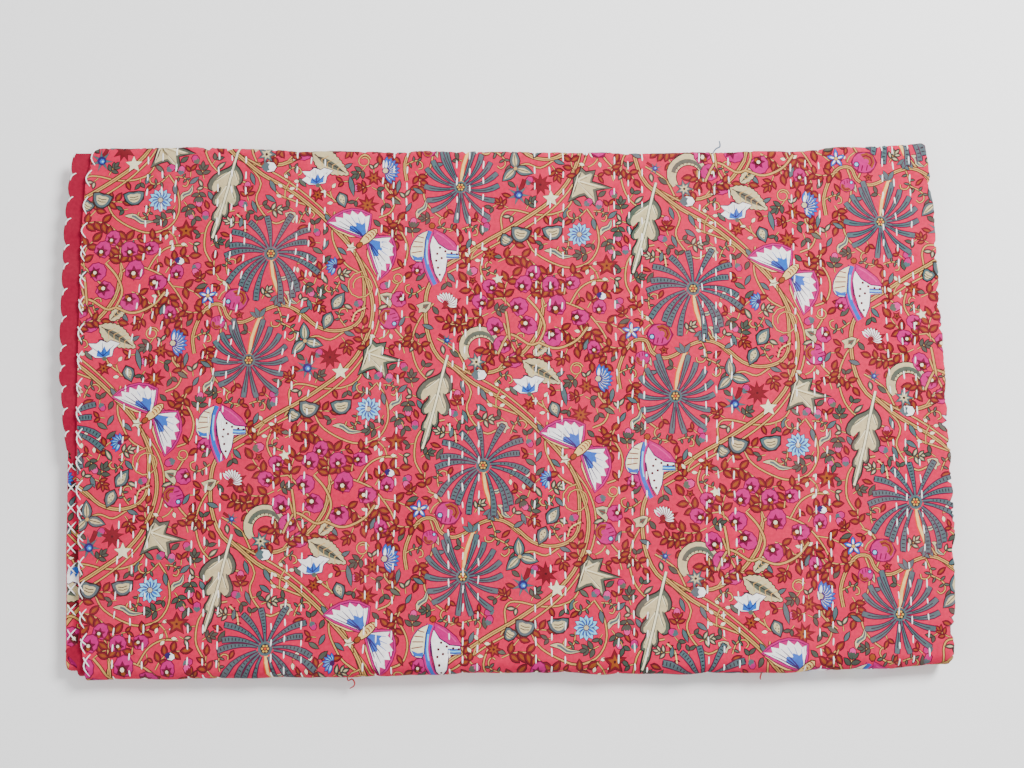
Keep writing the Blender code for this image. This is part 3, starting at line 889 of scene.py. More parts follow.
LEAVES = (
    (lobed_leaf, ((), 34, 396, -105, 1.16)),
    (serrated_leaf, ((44, 20, 10), 114, 400, -31), ((28, 10, 6), 128, 6, 44), ((20, 7, 5), 98, -6, 52)),
    (crescent_leaf, ((), 74, 14, 14)),
    (ivy_leaf, ((), 172, 192, -38, 0.74)),
    (trefoil, ((), 110, 203)),
    (half_cup, ((), 116, 138, -12), ((20, 12), 148, 140, 8), ((13, 11), 102, 130, -30, 0.9)),
    (spotted_leaf, ((), 138, 236, 55), ((18, 11), 136, 232, -112), ((16, 11), 143, 358, -70)),
    (small_leaf, ((22, 5), 153, 376, -78), ((13, 4), 128, 336, -56), ((14, 4.4), 70, 372, -64),
     ((13, 4.4), 66, 356, -35), ((14, 4), 52, 350, -68), ((14, 4), 50, 380, -72), ((12, 4), 132, 308, -118),
     ((12, 4), 142, 300, -40), ((13, 4.5), 190, 150, -80), ((12, 4), 24, 206, 10), ((12, 4), 14, 176, 150),
     ((15, 4.6, "cream", "sage_dark", "teal"), 24, 228, -70), ((12, 4.2), 104, 232, 30), ((12, 4.2), 150, 212, -20),
     ((12, 4.2), 60, 118, 70), ((12, 4.2), 40, 92, -50), ((12, 4.2), 206, 218, 60), ((14, 4.2), 205, 372, -100),
     ((12, 4.2), 180, 12, 70), ((11, 4), 150, 90, -110)),
    (wavy_leaf, ((), 8, 150, 60), ((20,), 198, 132, 52), ((18,), 88, 254, -48), ((24,), 92, 272, -150, 0.8)),
    (pale_bell, ((), 188, 250, -30), ((), 88, 336, -30, 0.8), ((), 22, 60, 210, 0.9)),
    (pale_star, ((9,), 147, 171, 20), ((6,), 156, 300), ((6,), 92, 86, 30)),
    (wavy_leaf, ((30,), 140, 116, -14)),
)
LOWER_BLOOMS = (
    (frilled_bloom, *(((size, 0.8), x, y, turn) for x, y, turn, size in (
        (128, 92, 60, 8.5), (84, 78, 150, 8), (168, 82, 10, 8), (196, 56, 80, 8), (110, 2, 220, 8.5),
        (190, 14, 100, 7.5), (10, 96, 60, 7.5)))),
    (palm, ((17, 50, True, 5), 73, 294), ((16, 46, False, 9), 53, 183, 0, 1.0, True)),
    (frilled_bloom, ((), 113, 57, 30), ((10, 0.78), 89, 36, 115), ((), 97, 18, 190, 0.95), ((10.5, 0.8), 122, 38, -35),
     ((11, 0.82), 152, 58, 75), ((10, 0.75), 175, 46, 5), ((10,), 148, 26, -70), ((9.5, 0.8), 118, 80, 60),
     ((8.5,), 146, 80, 100), ((8.5, 0.8), 74, 62, 150)),
)
BLOOMS = (
    (curled_bloom, ((), 38, 246), ((), 196, 226, 120, 0.9), ((), 20, 222, 200, 0.62)),
    (frilled_bloom, ((8,), 206, 246, 200)),
    (bud, ((), 47, 345, 160), ((), 196, 262, 200, 1.1), ((), 182, 164, 40), (("pink",), 196, 160, 80),
     ((), 118, 320, -60, 0.9), ((), 78, 136, 70), (("pink", "sage"), 60, 92, 20, 1.2), (("white",), 62, 386, 0, 1.5),
     (("white", "blue_dark"), 194, 70, -20)),
    (star_flower, ((), 172, 345, 10), ((9, 6), 178, 374), ((12, 9, "wine", "wine_dark", "wine"), 136, 186, 12),
     ((12, 5), 204, 100, 20), ((9, 7), 84, 112), ((8, 6), 120, 356, 12), ((11, 6), 44, 60, 30),
     ((9, 7, "teal", "sage_dark", "cream"), 70, 0, 0, 1.1)),
    (navy_star, ((), 113, 175, -5), ((), 40, 22, 70, 0.6)),
    (lily, ((), 118, 376, 6)),
    (fringe_flower, ((9, 15, "violet", "blue", "white", "cream", False), 190, 382, 10),
     ((12, 12.5, "violet", "blue_pale", "blue", "cream"), 176, 133),
     ((7, 10, "violet", "blue", "blue_pale", "violet", False), 140, 280, 170),
     ((5, 9.5, "violet", "blue", "white", "yellow"), 9, 250, 20),
     ((10, 12, "wine", "white", "pink", "wine", False), 38, 60, 60)),
    (bell_bloom, ((), 22, 138, 0, 0.92)),
    (butterfly, ((), 170, 308, 43)),
)


def laid(table):
    """The motifs of a table, each made and put in its places."""
    return [part for make, *rows in table for sizes, *spot in rows for part in placed(make(*sizes), *spot)]


def fillers():
    """Small twigs, leaves and buds for the bare places."""
    draw = random.Random(21)
    kinds = (MOSS, WINE, MOSS, PALE, WINE, MOSS)
    made = []
    for step, (x, y, reach) in enumerate(SPACES):
        turn = draw.uniform(0, 360)
        inks = kinds[(step * 5 + step // 6) % len(kinds)]
        if reach >= WIDE_SPACE and step % 5 in (1, 3):
            motif = curled_twig(reach * 1.1)
        elif reach >= WIDE_SPACE:
            motif = sprig(reach * 1.15, inks, ("leaf", "magenta", "leaf", "leaf", "pink")[step % 5])
        elif reach >= SPACE:
            motif = pair(reach * 1.25, inks)
        elif step % 7 == 3:
            motif = star_flower(reach, 5, *WINE)
        else:
            motif = placed(small_leaf(reach * 1.9, reach * 0.85, *inks), -reach * 0.95, 0)
        made += placed(motif, x, y, turn)
    return made


def repeat_motifs():
    """Everything in one repeat, lowest first."""
    made = []
    for points in THIN_VINES:
        made += stroke("tan", points, 0.75, 3 * len(points), "bark", 0.8)
    made += stroke("tan", CROSS_VINE, 1.45, 52, "bark", 1.0, "olive")
    made += stroke("tan", MAIN_VINE, 1.6, 72, "bark", 1.1, "olive")
    made += laid(TWIGS) + fillers() + laid(LEAVES) + laid(LOWER_BLOOMS)
    for points in BLOOM_TWIGS:
        made += stroke("tan", points, 1.0, 12, "bark", 0.8)
    return made + laid(BLOOMS)


# ---------------------------------------------------------------- cutting the print into cloth
REPEAT_REACH, REPEAT_REACH_BACK = 0.22, 0.572  # how far a repeat's corner may lie outside a box that it reaches
MOST_REPEATS = 12
INK_CELL = 0.004  # cells that the places are sorted into, to look their inks up quickly
LONG_RIBBON, RIBBON_WIDTH = 0.03, 0.0065  # ribbons this long and narrow are looked up in stretches
STRAIGHT, LONGEST_EDGE = 0.00003, 0.004
OUTLINE_SLACK = 0.036  # more than an outline strays from a rectangle
REPEAT = [(INK_NAMES.index(ink), pts * PRINT_UNIT, is_fine) for ink, pts, is_fine in repeat_motifs()]


def print_shapes(low, high, wanted, with_fine):
    """(ink index, points in cloth metres) of the print in a box, where its corners are wanted."""
    motifs = [(ink, pts) for ink, pts, is_fine in REPEAT if with_fine or not is_fine]
    steps = range(-MOST_REPEATS, MOST_REPEATS + 1)
    shifts = [drop * REPEAT_DOWN + half * REPEAT_HALF_DROP for drop in steps for half in steps]
    found = []
    for shift in shifts:
        corner = BUTTERFLY_AT + MIDDLE[:2] + shift - BUTTERFLY_IN_REPEAT * PRINT_UNIT
        if (corner >= high + REPEAT_REACH).any() or (corner <= low - REPEAT_REACH_BACK).any():
            continue
        for ink, pts in motifs:
            there = pts + corner
            small, large = there.min(axis=0), there.max(axis=0)
            if (large >= low).all() and (small <= high).all() and wanted(small, large):
                found.append((ink, there))
    return found


def triangulated(points, edges):
    """Triangles of all the points, with every edge kept. Places are worked in millimetres."""
    verts, _, tris, _, _, _ = delaunay_2d_cdt([Vector(p) for p in points * 1000], edges, [], 0, 1e-3, False)
    return np.array([v[:] for v in verts]) / 1000, np.array(tris)


def loop_edges(start, count):
    return [(start + i, start + (i + 1) % count) for i in range(count)]


def stretches_of(ink, pts):
    """A long ribbon as its short stretches, any other shape as it is."""
    half = len(pts) // 2
    if len(pts) < 20 or len(pts) % 2 or np.ptp(pts, axis=0).max() < LONG_RIBBON:
        return [(ink, pts)]
    left, right = pts[:half], pts[half:][::-1]
    if np.linalg.norm(left - right, axis=1).max() > RIBBON_WIDTH:
        return [(ink, pts)]
    return [(ink, np.stack((left[i], left[i + 1], right[i + 1], right[i]))) for i in range(half - 1)]


def inks_at(places, shapes):
    """The ink of the last shape that holds each place, the ground where none does."""
    inks = np.full(len(places), INK_NAMES.index("ground"))
    base = places.min(axis=0)
    cells = ((places - base) / INK_CELL).astype(int)
    wide = cells[:, 0].max() + 1
    key = cells[:, 1] * wide + cells[:, 0]
    order = np.argsort(key, kind="stable")
    key = key[order]
    for ink, pts in (part for shape in shapes for part in stretches_of(*shape)):
        low = np.maximum(((pts.min(axis=0) - base) / INK_CELL).astype(int), 0)
        high = ((pts.max(axis=0) - base) / INK_CELL).astype(int)
        if high.min() < 0 or low[0] >= wide:
            continue
        rows = np.arange(low[1], high[1] + 1) * wide
        starts = np.searchsorted(key, rows + low[0])
        ends = np.searchsorted(key, rows + min(high[0], wide - 1) + 1)
        held = [order[i:j] for i, j in zip(starts, ends) if j > i]
        if not held:
            continue
        held = np.concatenate(held)
        x, y = places[held, 0][:, None], places[held, 1][:, None]
        x0, y0 = pts[:, 0], pts[:, 1]
        x1, y1 = np.roll(x0, -1), np.roll(y0, -1)
        left = (x1 - x0) * (y - y0) - (x - x0) * (y1 - y0)
        turns = ((y0 <= y) & (y1 > y) & (left > 0)).sum(axis=1) - ((y0 > y) & (y1 <= y) & (left < 0)).sum(axis=1)
        inks[held[turns != 0]] = ink
    return inks


def seen_edges(verts, tris, inks):
    """The lines between different inks, without the points that lie on a straight stretch."""
    pairs = np.sort(tris[:, ((0, 1), (1, 2), (2, 0))].reshape(-1, 2), axis=1)
    owner = np.repeat(inks, 3)
    key = pairs[:, 0] * len(verts) + pairs[:, 1]
    order = np.argsort(key, kind="stable")
    same = key[order][1:] == key[order][:-1]
    differ = owner[order][1:] != owner[order][:-1]
    beside = {}
    for a, b in pairs[order[1:][same & differ]].tolist():
        beside.setdefault(a, []).append(b)
        beside.setdefault(b, []).append(a)
    flat_places = verts.tolist()
    for vertex in list(beside):
        if len(beside[vertex]) != 2:
            continue
        one, two = beside[vertex]
        if one == two or two in beside[one]:
            continue
        (ax, ay), (bx, by), (px, py) = flat_places[one], flat_places[two], flat_places[vertex]
        span = math.hypot(bx - ax, by - ay)
        if span < 1e-9 or span > LONGEST_EDGE:
            continue
        if abs((bx - ax) * (py - ay) - (by - ay) * (px - ax)) / span < STRAIGHT:
            beside[one][beside[one].index(vertex)] = two
            beside[two][beside[two].index(vertex)] = one
            del beside[vertex]
    return [(a, b) for a, near in beside.items() for b in near if a < b]


def cut(outline, shapes, grid):
    """Triangles of the area inside outline, cut where the ink changes. Returns the points, the
    triangles and each triangle's ink."""
    count = len(outline)
    points, edges = [outline], loop_edges(0, count)
    if shapes:
        raw, raw_edges, total = [outline], list(edges), count
        for _, pts in shapes:
            raw_edges += loop_edges(total, len(pts))
            raw.append(pts)
            total += len(pts)
        verts, tris = triangulated(np.vstack(raw), raw_edges)
        seen = seen_edges(verts, tris, inks_at(verts[tris].mean(axis=1), shapes))
        used, index = np.unique(np.array(seen), return_inverse=True)
        points.append(verts[used])
        edges += [(a + count, b + count) for a, b in index.reshape(-1, 2).tolist()]
    verts, tris = triangulated(np.vstack(points + [grid]), edges)
    middles = verts[tris].mean(axis=1)
    within = ((middles > outline.min(axis=0) + OUTLINE_SLACK)
              & (middles < outline.max(axis=0) - OUTLINE_SLACK)).all(axis=1)
    unclear = ~within
    within[unclear] = inks_at(middles[unclear], [(-1, outline)]) == -1
    tris, middles = tris[within], middles[within]
    one, two = verts[tris[:, 1]] - verts[tris[:, 0]], verts[tris[:, 2]] - verts[tris[:, 0]]
    turn = one[:, 0] * two[:, 1] - one[:, 1] * two[:, 0]
    tris = np.where((turn < 0)[:, None], tris[:, ::-1], tris)
    used, index = np.unique(tris, return_inverse=True)
    return verts[used], index.reshape(tris.shape), inks_at(middles, shapes)


# ---------------------------------------------------------------- the sheet in pieces
# Each piece is a closed slab of cloth between places along and across the strip.
UPPER_HEM, FOLD_END, LOWER_HEM = "upper hem", "fold end", "lower hem"
BOTTOM_START, WRAP_START, SECOND_START, THIRD_END = 0, 1, 4, 7  # among the places that stretches() gives
NEAR_FOLD, NEAR_HEM = 0.318, -0.31  # x to start from when a side edge is looked for
EDGE_STEP = 0.004
PANEL_LENGTH, WIDTH, HALF_WIDTH = 0.40, 0.63, 0.32  # roughly, to count the points of an edge by
HEM_ROUND = 0.00075
RIM_SWELL, LEAST_OUTWARD = 1.05, 0.25
NUDGE = 0.0004  # step along the cloth that a wall's directions are measured by, and its width on the cloth's map
RIM_TURNS = np.array((55, 20, -20, -55)) * math.pi / 180
PRINTED_BANDS = 3  # of an edge, counted from the printed side, the others are red
OUTWARD = np.array(((0, -1), (1, 0), (0, 1), (-1, 0)))  # of the edges: first end, right, last end, left
# the valleys of the scallops on the second layer's hem, from the back: place along, depth
SCALLOPS = ((0.1926, 0.0032), (0.1755, 0.0034), (0.1577, 0.0035), (0.1408, 0.0037), (0.1209, 0.0035), (0.1065, 0.0030),
            (0.0875, 0.0033), (0.0665, 0.0035), (0.0447, 0.0036), (0.0298, 0.0029), (0.0143, 0.0032), (-0.0020, 0.0032),
            (-0.0189, 0.0031), (-0.0357, 0.0036))
SCALLOP_POWER = 2.1
PRINT_TOP, WALL_BAND, BAND_GAP = 0.80, (0.806, 0.824), 0.006  # shares of the bake map's height
BAKE_SHARE, BAKE_MARGIN = 0.994, 0.003
ROW_LINES, ROW_STEP, ROW_CLEAR = (0.0, 0.0017, -0.0017, 0.0042, -0.0042), 0.003, 0.0058


def drawn_in(along):
    """How far the lower hem is drawn in, between the bulges of its scallops."""
    pulled = np.zeros_like(along)
    for (first, one), (last, two) in zip(SCALLOPS, SCALLOPS[1:]):
        share = (along - last) / (first - last)
        depth = two + (one - two) * share
        pinch = 1 - np.sqrt(np.clip(1 - np.abs(2 * share - 1) ** SCALLOP_POWER, 0, 1))
        pulled = np.where((share > 0) & (share < 1), depth * pinch, pulled)
    return pulled


def place_of_edge(kind, along):
    """(across, x) of a side edge at places along the strip."""
    if isinstance(kind, float):
        return np.full_like(along, kind), np.full_like(along, kind)
    x = np.full_like(along, NEAR_FOLD if kind == FOLD_END else NEAR_HEM)
    for _ in range(3):
        upper, lower, fold = strip_ends(along, x)
        x = {UPPER_HEM: upper, LOWER_HEM: lower + drawn_in(along), FOLD_END: fold - TURN - CLOTH / 2}[kind]
    if kind == LOWER_HEM:
        return 2 * fold_start(along, x) + FOLD_LENGTH - x, x
    return (x + FOLD_LENGTH if kind == FOLD_END else x), x


def side_edge(kind, first, last, count):
    """Cloth places of a side edge from one stretch's end to another's."""
    ends = []
    for stretch in (first, last):
        x = np.array([kind if isinstance(kind, float) else NEAR_FOLD if kind == FOLD_END else NEAR_HEM])
        for _ in range(4):
            along = stretches(x)[stretch]
            x = place_of_edge(kind, along)[1]
        ends.append(along[0])
    along = np.linspace(*ends, count)
    return np.stack((place_of_edge(kind, along)[0], along), axis=1)


def end_edge(low, high, stretch, count):
    """Cloth places of an end edge between two of its corners."""
    across, along = np.linspace(low[0], high[0], count), np.linspace(low[1], high[1], count)
    for _ in range(3):
        along = stretches(x_on_layer(across, fold_start(along, np.full_like(along, NEAR_FOLD))))[stretch]
    along[0], along[-1] = low[1], high[1]
    return np.stack((across, along), axis=1)


def cloth_outline(left, right, first, last, side_step):
    """The outline of a piece in cloth coordinates, anticlockwise, and which edge each of its
    points starts: 0 first end, 1 right, 2 last end, 3 left."""
    along_count = int(PANEL_LENGTH / side_step)
    across_count = int((WIDTH if isinstance(left, str) and isinstance(right, str) else HALF_WIDTH) / EDGE_STEP)
    west, east = side_edge(left, first, last, along_count), side_edge(right, first, last, along_count)
    south, north = (end_edge(west[at], east[at], stretch, across_count) for at, stretch in ((0, first), (-1, last)))
    sides = south[:-1], east[:-1], north[:0:-1], west[:0:-1]
    return np.vstack(sides), np.concatenate([np.full(len(side), k) for k, side in enumerate(sides)])


def grid_inside(outline, step, rows=()):
    """Points to mesh a skin with: a plain grid, and finer lines beside the stitch rows."""
    margin = step * 0.5
    low, high = outline.min(axis=0), outline.max(axis=0)
    across = np.arange(low[0] + margin, high[0] - margin, step)
    along = np.arange(low[1] + margin, high[1] - margin, step)
    grid = np.stack(np.meshgrid(across, along), axis=-1).reshape(-1, 2)
    grid[:, 0] += step * 0.3 * np.sin(grid[:, 1] * 1000)
    if rows:
        away = np.min([np.abs(grid[:, 0] - row.place(grid[:, 1])) for row in rows], axis=0)
        grid = grid[away > ROW_CLEAR]
        there = np.arange(low[1] + margin, high[1] - margin, ROW_STEP)
        beside = []
        for row in rows:
            for line, offset in enumerate(ROW_LINES):
                shifted = there + (ROW_STEP / 2 if line % 2 else 0)
                beside.append(np.stack((row.place(shifted) + offset, shifted), axis=1))
        grid = np.vstack([grid] + beside)
    return grid[inside(outline, grid, margin)]


def inside(outline, points, margin):
    """Which points lie inside an outline that is nearly a rectangle, clear of its edges."""
    low, high = outline.min(axis=0), outline.max(axis=0)
    centre = (low + high) / 2
    aside = np.abs(outline - centre) / (high - low)
    flank = aside[:, 0] > aside[:, 1]
    good = np.ones(len(points), bool)
    for axis, mask in ((0, flank), (1, ~flank)):
        for sign in (-1, 1):
            edge = outline[mask & (np.sign(outline[:, axis] - centre[axis]) == sign)]
            edge = edge[np.argsort(edge[:, 1 - axis])]
            limit = np.interp(points[:, 1 - axis], edge[:, 1 - axis], edge[:, axis])
            good &= sign * (limit - points[:, axis]) > margin
    return good


def skin_places(places, face, puckered=False):
    """World places and outward normals of cloth points on one face, 1 printed, -1 reverse."""
    def at(across, along):
        return folded(across, along, face * (CLOTH / 2 + (relief(across, along) if puckered else 0.0)))

    step = 0.0002
    across, along = places[:, 0], places[:, 1]
    one = at(across + step, along) - at(across - step, along)
    two = at(across, along + step) - at(across, along - step)
    return at(across, along), unit(np.cross(one, two) * face, 1e-12)


def mesh_object(name, places, faces, colours, maps, material, normals=None):
    """A mesh from arrays: faces are triangles, colours one a face, the maps one a corner."""
    mesh = bpy.data.meshes.new(name)
    count = len(faces)
    mesh.vertices.add(len(places))
    mesh.vertices.foreach_set("co", places.astype(np.float32).ravel())
    mesh.loops.add(count * 3)
    mesh.loops.foreach_set("vertex_index", faces.astype(np.int32).ravel())
    mesh.polygons.add(count)
    mesh.polygons.foreach_set("loop_start", np.arange(0, count * 3, 3, dtype=np.int32))
    mesh.polygons.foreach_set("use_smooth", np.ones(count, bool))
    ink = mesh.color_attributes.new("ink", "FLOAT_COLOR", "CORNER")
    ink.data.foreach_set("color", np.repeat(colours, 3, axis=0).astype(np.float32).ravel())
    for label, values in maps.items():
        layer = mesh.uv_layers.new(name=label)
        layer.data.foreach_set("uv", values.astype(np.float32).ravel())
    mesh.update()
    mesh.validate()
    if normals is not None:
        mesh.normals_split_custom_set(normals)
    mesh.materials.append(material)
    obj = bpy.data.objects.new(name, mesh)
    bpy.context.scene.collection.objects.link(obj)
    return obj


def same_places(places, wanted):
    """The index in places of each wanted place."""
    found = {tuple(point): index for index, point in enumerate(np.round(places / 1e-7).astype(np.int64).tolist())}
    near = [(i, j) for i in (0, -1, 1) for j in (0, -1, 1)]
    return np.array([next(found[(x + i, y + j)] for i, j in near if (x + i, y + j) in found)
                     for x, y in np.round(wanted / 1e-7).astype(np.int64).tolist()])


def border(places, tris, outline, edges):
    """The border of a skin in order, from the outline's first point, and the edge each of its
    points starts."""
    pairs = tris[:, ((0, 1), (1, 2), (2, 0))].reshape(-1, 2)
    key = np.sort(pairs, axis=1)
    _, index, count = np.unique(key[:, 0] * len(places) + key[:, 1], return_index=True, return_counts=True)
    following = dict(pairs[index[count == 1]].tolist())
    corners = {int(at): step for step, at in enumerate(same_places(places, outline))}
    first = next(at for at, step in corners.items() if step == 0)
    loop, kinds, at, kind = [], [], first, edges[0]
    while not loop or at != first:
        kind = edges[corners[at]] if at in corners else kind
        loop.append(at)
        kinds.append(kind)
        at = following[at]
    return np.array(loop), np.array(kinds)


def wall(outline, edges, hems, front, back, normals):
    """The edge of a piece between its two skins, as stations of places and normals, the first
    and last of them on the skins' own borders. Edges that are real hems bulge."""
    away = np.where(np.isin(edges, hems)[:, None], OUTWARD[edges], 0) * 1.0
    both = away + np.roll(away, 1, axis=0)
    bulge = np.sign(both) * (np.abs(both) > 0)
    places = [front]
    for turn in RIM_TURNS:
        across, along = (outline + bulge * HEM_ROUND * math.cos(turn)).T
        places.append(folded(across, along, CLOTH / 2 * math.sin(turn) * RIM_SWELL))
    step = OUTWARD[edges] * NUDGE
    outward = unit(folded(*(outline + step).T, 0) - folded(*(outline - step).T, 0))
    turns = np.concatenate(((math.pi / 2,), RIM_TURNS, (-math.pi / 2,)))
    return np.vstack(places + [back]), unit(np.vstack([
        outward * max(math.cos(turn), LEAST_OUTWARD) + normals * math.sin(turn) for turn in turns]))


def wall_faces(outline, levels, offset):
    """The faces of such an edge, and their places on the bake map and on the cloth."""
    count = len(outline)
    here, following = np.arange(count), np.roll(np.arange(count), -1)
    share = here / count
    faces, bake, cloth = [], [], []
    for level in range(levels - 1):
        a, b = offset + level * count + here, offset + level * count + following
        c, d = a + count, b + count
        band = [WALL_BAND[0] + (WALL_BAND[1] - WALL_BAND[0]) * (level + k) / (levels - 1) for k in (0, 1)]
        for tri, marks in (((a, c, b), ((0, 0), (0, 1), (1, 0))), ((b, c, d), ((1, 0), (0, 1), (1, 1)))):
            faces.append(np.stack(tri, axis=1))
            bake.append(np.stack([np.stack((share + u / count, np.full(count, band[v])), axis=1)
                                  for u, v in marks], axis=1))
            cloth.append(np.stack([outline[following if u else here] + v * NUDGE for u, v in marks], axis=1))
    return faces, bake, cloth


def cloth_piece(name, left, right, first, last, hems=(), is_top=False, near=None, smallest=0.0, grid_step=0.012,
                back_step=0.012, side_step=EDGE_STEP):
    """One piece of the sheet. hems are the edges, numbered as in cloth_outline, that are real
    ones. Only the top has fine parts in its print and is puckered by its stitches. near is how
    far from the edges the print is drawn, None for all over, and smallest how long a shape of
    the print has to be."""
    outline, edges = cloth_outline(left, right, first, last, side_step)
    low, high = outline.min(axis=0), outline.max(axis=0)

    def wanted(small, large):
        if near is None:
            return (large - small).max() > smallest
        return (small < low + near).any() or (large > high - near).any()

    def bake_places(places, bottom, top):
        share = (places - low) / (high - low) * BAKE_SHARE + BAKE_MARGIN
        share[:, 1] = bottom + share[:, 1] * (top - bottom)
        return share

    shapes = print_shapes(low, high, wanted, is_top)
    front_grid, back_grid = grid_inside(outline, grid_step, ROWS if is_top else ()), grid_inside(outline, back_step)
    front, front_tris, inks = cut(outline, shapes, front_grid)
    front_ring, edges = border(front, front_tris, outline, edges)
    outline = front[front_ring]
    back, back_tris, _ = cut(outline, [], back_grid)
    back_ring, back_tris = same_places(back, outline), back_tris[:, ::-1]
    front_places, front_normals = skin_places(front, 1, is_top)
    back_places, back_normals = skin_places(back, -1)
    wall_places, wall_normals = wall(outline, edges, hems, front_places[front_ring], back_places[back_ring],
                                     front_normals[front_ring])
    count, offset = len(outline), len(front) + len(back)
    levels = len(RIM_TURNS) + 2
    faces, bake, cloth = wall_faces(outline, levels, offset)
    faces = np.vstack((front_tris, back_tris + len(front), *faces))
    bake = np.concatenate((bake_places(front, 0.0, PRINT_TOP)[front_tris],
                           bake_places(back, WALL_BAND[1] + BAND_GAP, 1.0)[back_tris], *bake))
    cloth = np.concatenate((front[front_tris], back[back_tris], *cloth))
    ground = INK_LINEAR[INK_NAMES.index("ground")]
    colours = np.concatenate((INK_LINEAR[inks], np.tile(RED, (len(back_tris), 1)),
                              np.tile(ground, (2 * PRINTED_BANDS * count, 1)),
                              np.tile(RED, (2 * (levels - 1 - PRINTED_BANDS) * count, 1))))
    normals = np.vstack((front_normals, back_normals, wall_normals))[faces].reshape(-1, 3)
    places = np.vstack((front_places, back_places, wall_places))
    # the rims join the skins: one vertex for each place of the outline
    merge = np.arange(len(places))
    merge[offset:offset + count] = front_ring
    merge[offset + (levels - 1) * count:] = len(front) + back_ring
    faces = merge[faces]
    used, index = np.unique(faces, return_inverse=True)
    maps = {"OFBake": bake.reshape(-1, 2), "cloth": cloth.reshape(-1, 2)}
    return mesh_object(name, places[used], index.reshape(faces.shape), colours, maps, COTTON, normals)


# ---------------------------------------------------------------- materials
YARN, TWIST = 0.00055, 0.0009  # pitch of the weave and of the thread's turns


def plug(tree, socket, value):
    if isinstance(value, bpy.types.NodeSocket):
        tree.links.new(value, socket)
    else:
        socket.default_value = value


def node(tree, kind, inputs, **settings):
    made = tree.nodes.new(kind)
    for key, value in settings.items():
        setattr(made, key, value)
    for key, value in inputs.items():
        plug(tree, made.inputs[key], value)
    return made


def mix_colour(tree, kind, share, one, two):
    return node(tree, "ShaderNodeMix", {0: share, 6: one, 7: two}, data_type="RGBA", blend_type=kind).outputs[2]


def calc(tree, operation, one, two=None):
    inputs = {0: one} if two is None else {0: one, 1: two}
    return node(tree, "ShaderNodeMath", inputs, operation=operation).outputs[0]


def ranged(tree, value, low, high, to_low, to_high):
    return node(tree, "ShaderNodeMapRange", {0: value, 1: low, 2: high, 3: to_low, 4: to_high}).outputs[0]


def new_material(name, **values):
    """A material, its nodes and its shader, with the shader's plain values set."""
    material = bpy.data.materials.new(name)
    material.use_nodes = True
    tree = material.node_tree
    tree.nodes.clear()
    output = tree.nodes.new("ShaderNodeOutputMaterial")
    shader = tree.nodes.new("ShaderNodeBsdfPrincipled")
    tree.links.new(shader.outputs[0], output.inputs["Surface"])
    for key, value in values.items():
        shader.inputs[key.replace("_", " ")].default_value = value
    return material, tree, shader


def ink_and_cloth(tree):
    """The ink of each face, the cloth's own map, and that map's across and along."""
    ink = node(tree, "ShaderNodeAttribute", {}, attribute_type="GEOMETRY", attribute_name="ink").outputs["Color"]
    cloth = node(tree, "ShaderNodeUVMap", {}, uv_map="cloth").outputs[0]
    parts = node(tree, "ShaderNodeSeparateXYZ", {0: cloth}).outputs
    return ink, cloth, parts[0], parts[1]


def cotton():
    """Printed and plain cotton: the ink of each face, a little uneven, over a plain weave."""
    material, tree, shader = new_material("kantha_cotton", Roughness=0.95, Specular_IOR_Level=0.12, Sheen_Weight=0.05,
                                          Sheen_Roughness=0.5, Sheen_Tint=(1.0, 0.75, 0.75, 1))
    ink, cloth, across, along = ink_and_cloth(tree)
    warp, weft = (calc(tree, "SINE", calc(tree, "MULTIPLY", way, 2 * math.pi / YARN)) for way in (across, along))
    slub, patch, grain = (node(tree, "ShaderNodeTexNoise", {"Vector": cloth, **noise}).outputs[0] for noise in (
        {"Scale": 900.0, "Detail": 3.0, "Roughness": 0.6}, {"Scale": 26.0, "Detail": 4.0, "Roughness": 0.55},
        {"Scale": 420.0, "Detail": 2.0}))
    tone = mix_colour(tree, "MIX", ranged(tree, patch, 0.35, 0.75, 0.0, 0.09), ink, (0.70, 0.10, 0.14, 1))
    grain = ranged(tree, grain, 0.3, 0.7, 0.86, 1.10)
    grey = node(tree, "ShaderNodeCombineColor", {0: grain, 1: grain, 2: grain}).outputs[0]
    high = calc(tree, "ADD", calc(tree, "MULTIPLY", calc(tree, "MULTIPLY", warp, weft), 0.5),
                calc(tree, "MULTIPLY", slub, 1.2))
    bump = node(tree, "ShaderNodeBump", {"Height": high, "Distance": 0.00008, "Strength": 0.5})
    plug(tree, shader.inputs["Base Color"], mix_colour(tree, "MULTIPLY", 0.8, tone, grey))
    plug(tree, shader.inputs["Normal"], bump.outputs[0])
    return material


def thread_material():
    material, tree, shader = new_material("cotton_thread", Roughness=0.75, Sheen_Weight=0.15)
    ink, _, across, along = ink_and_cloth(tree)
    twist = calc(tree, "SINE", calc(tree, "MULTIPLY", calc(tree, "ADD", across, along), 2 * math.pi / TWIST))
    bump = node(tree, "ShaderNodeBump", {"Height": twist, "Distance": 0.0001, "Strength": 0.6})
    plug(tree, shader.inputs["Base Color"], ink)
    plug(tree, shader.inputs["Normal"], bump.outputs[0])
    return material


COTTON, THREAD = cotton(), thread_material()

# ---------------------------------------------------------------- build the cloth
SEAM = 0.002
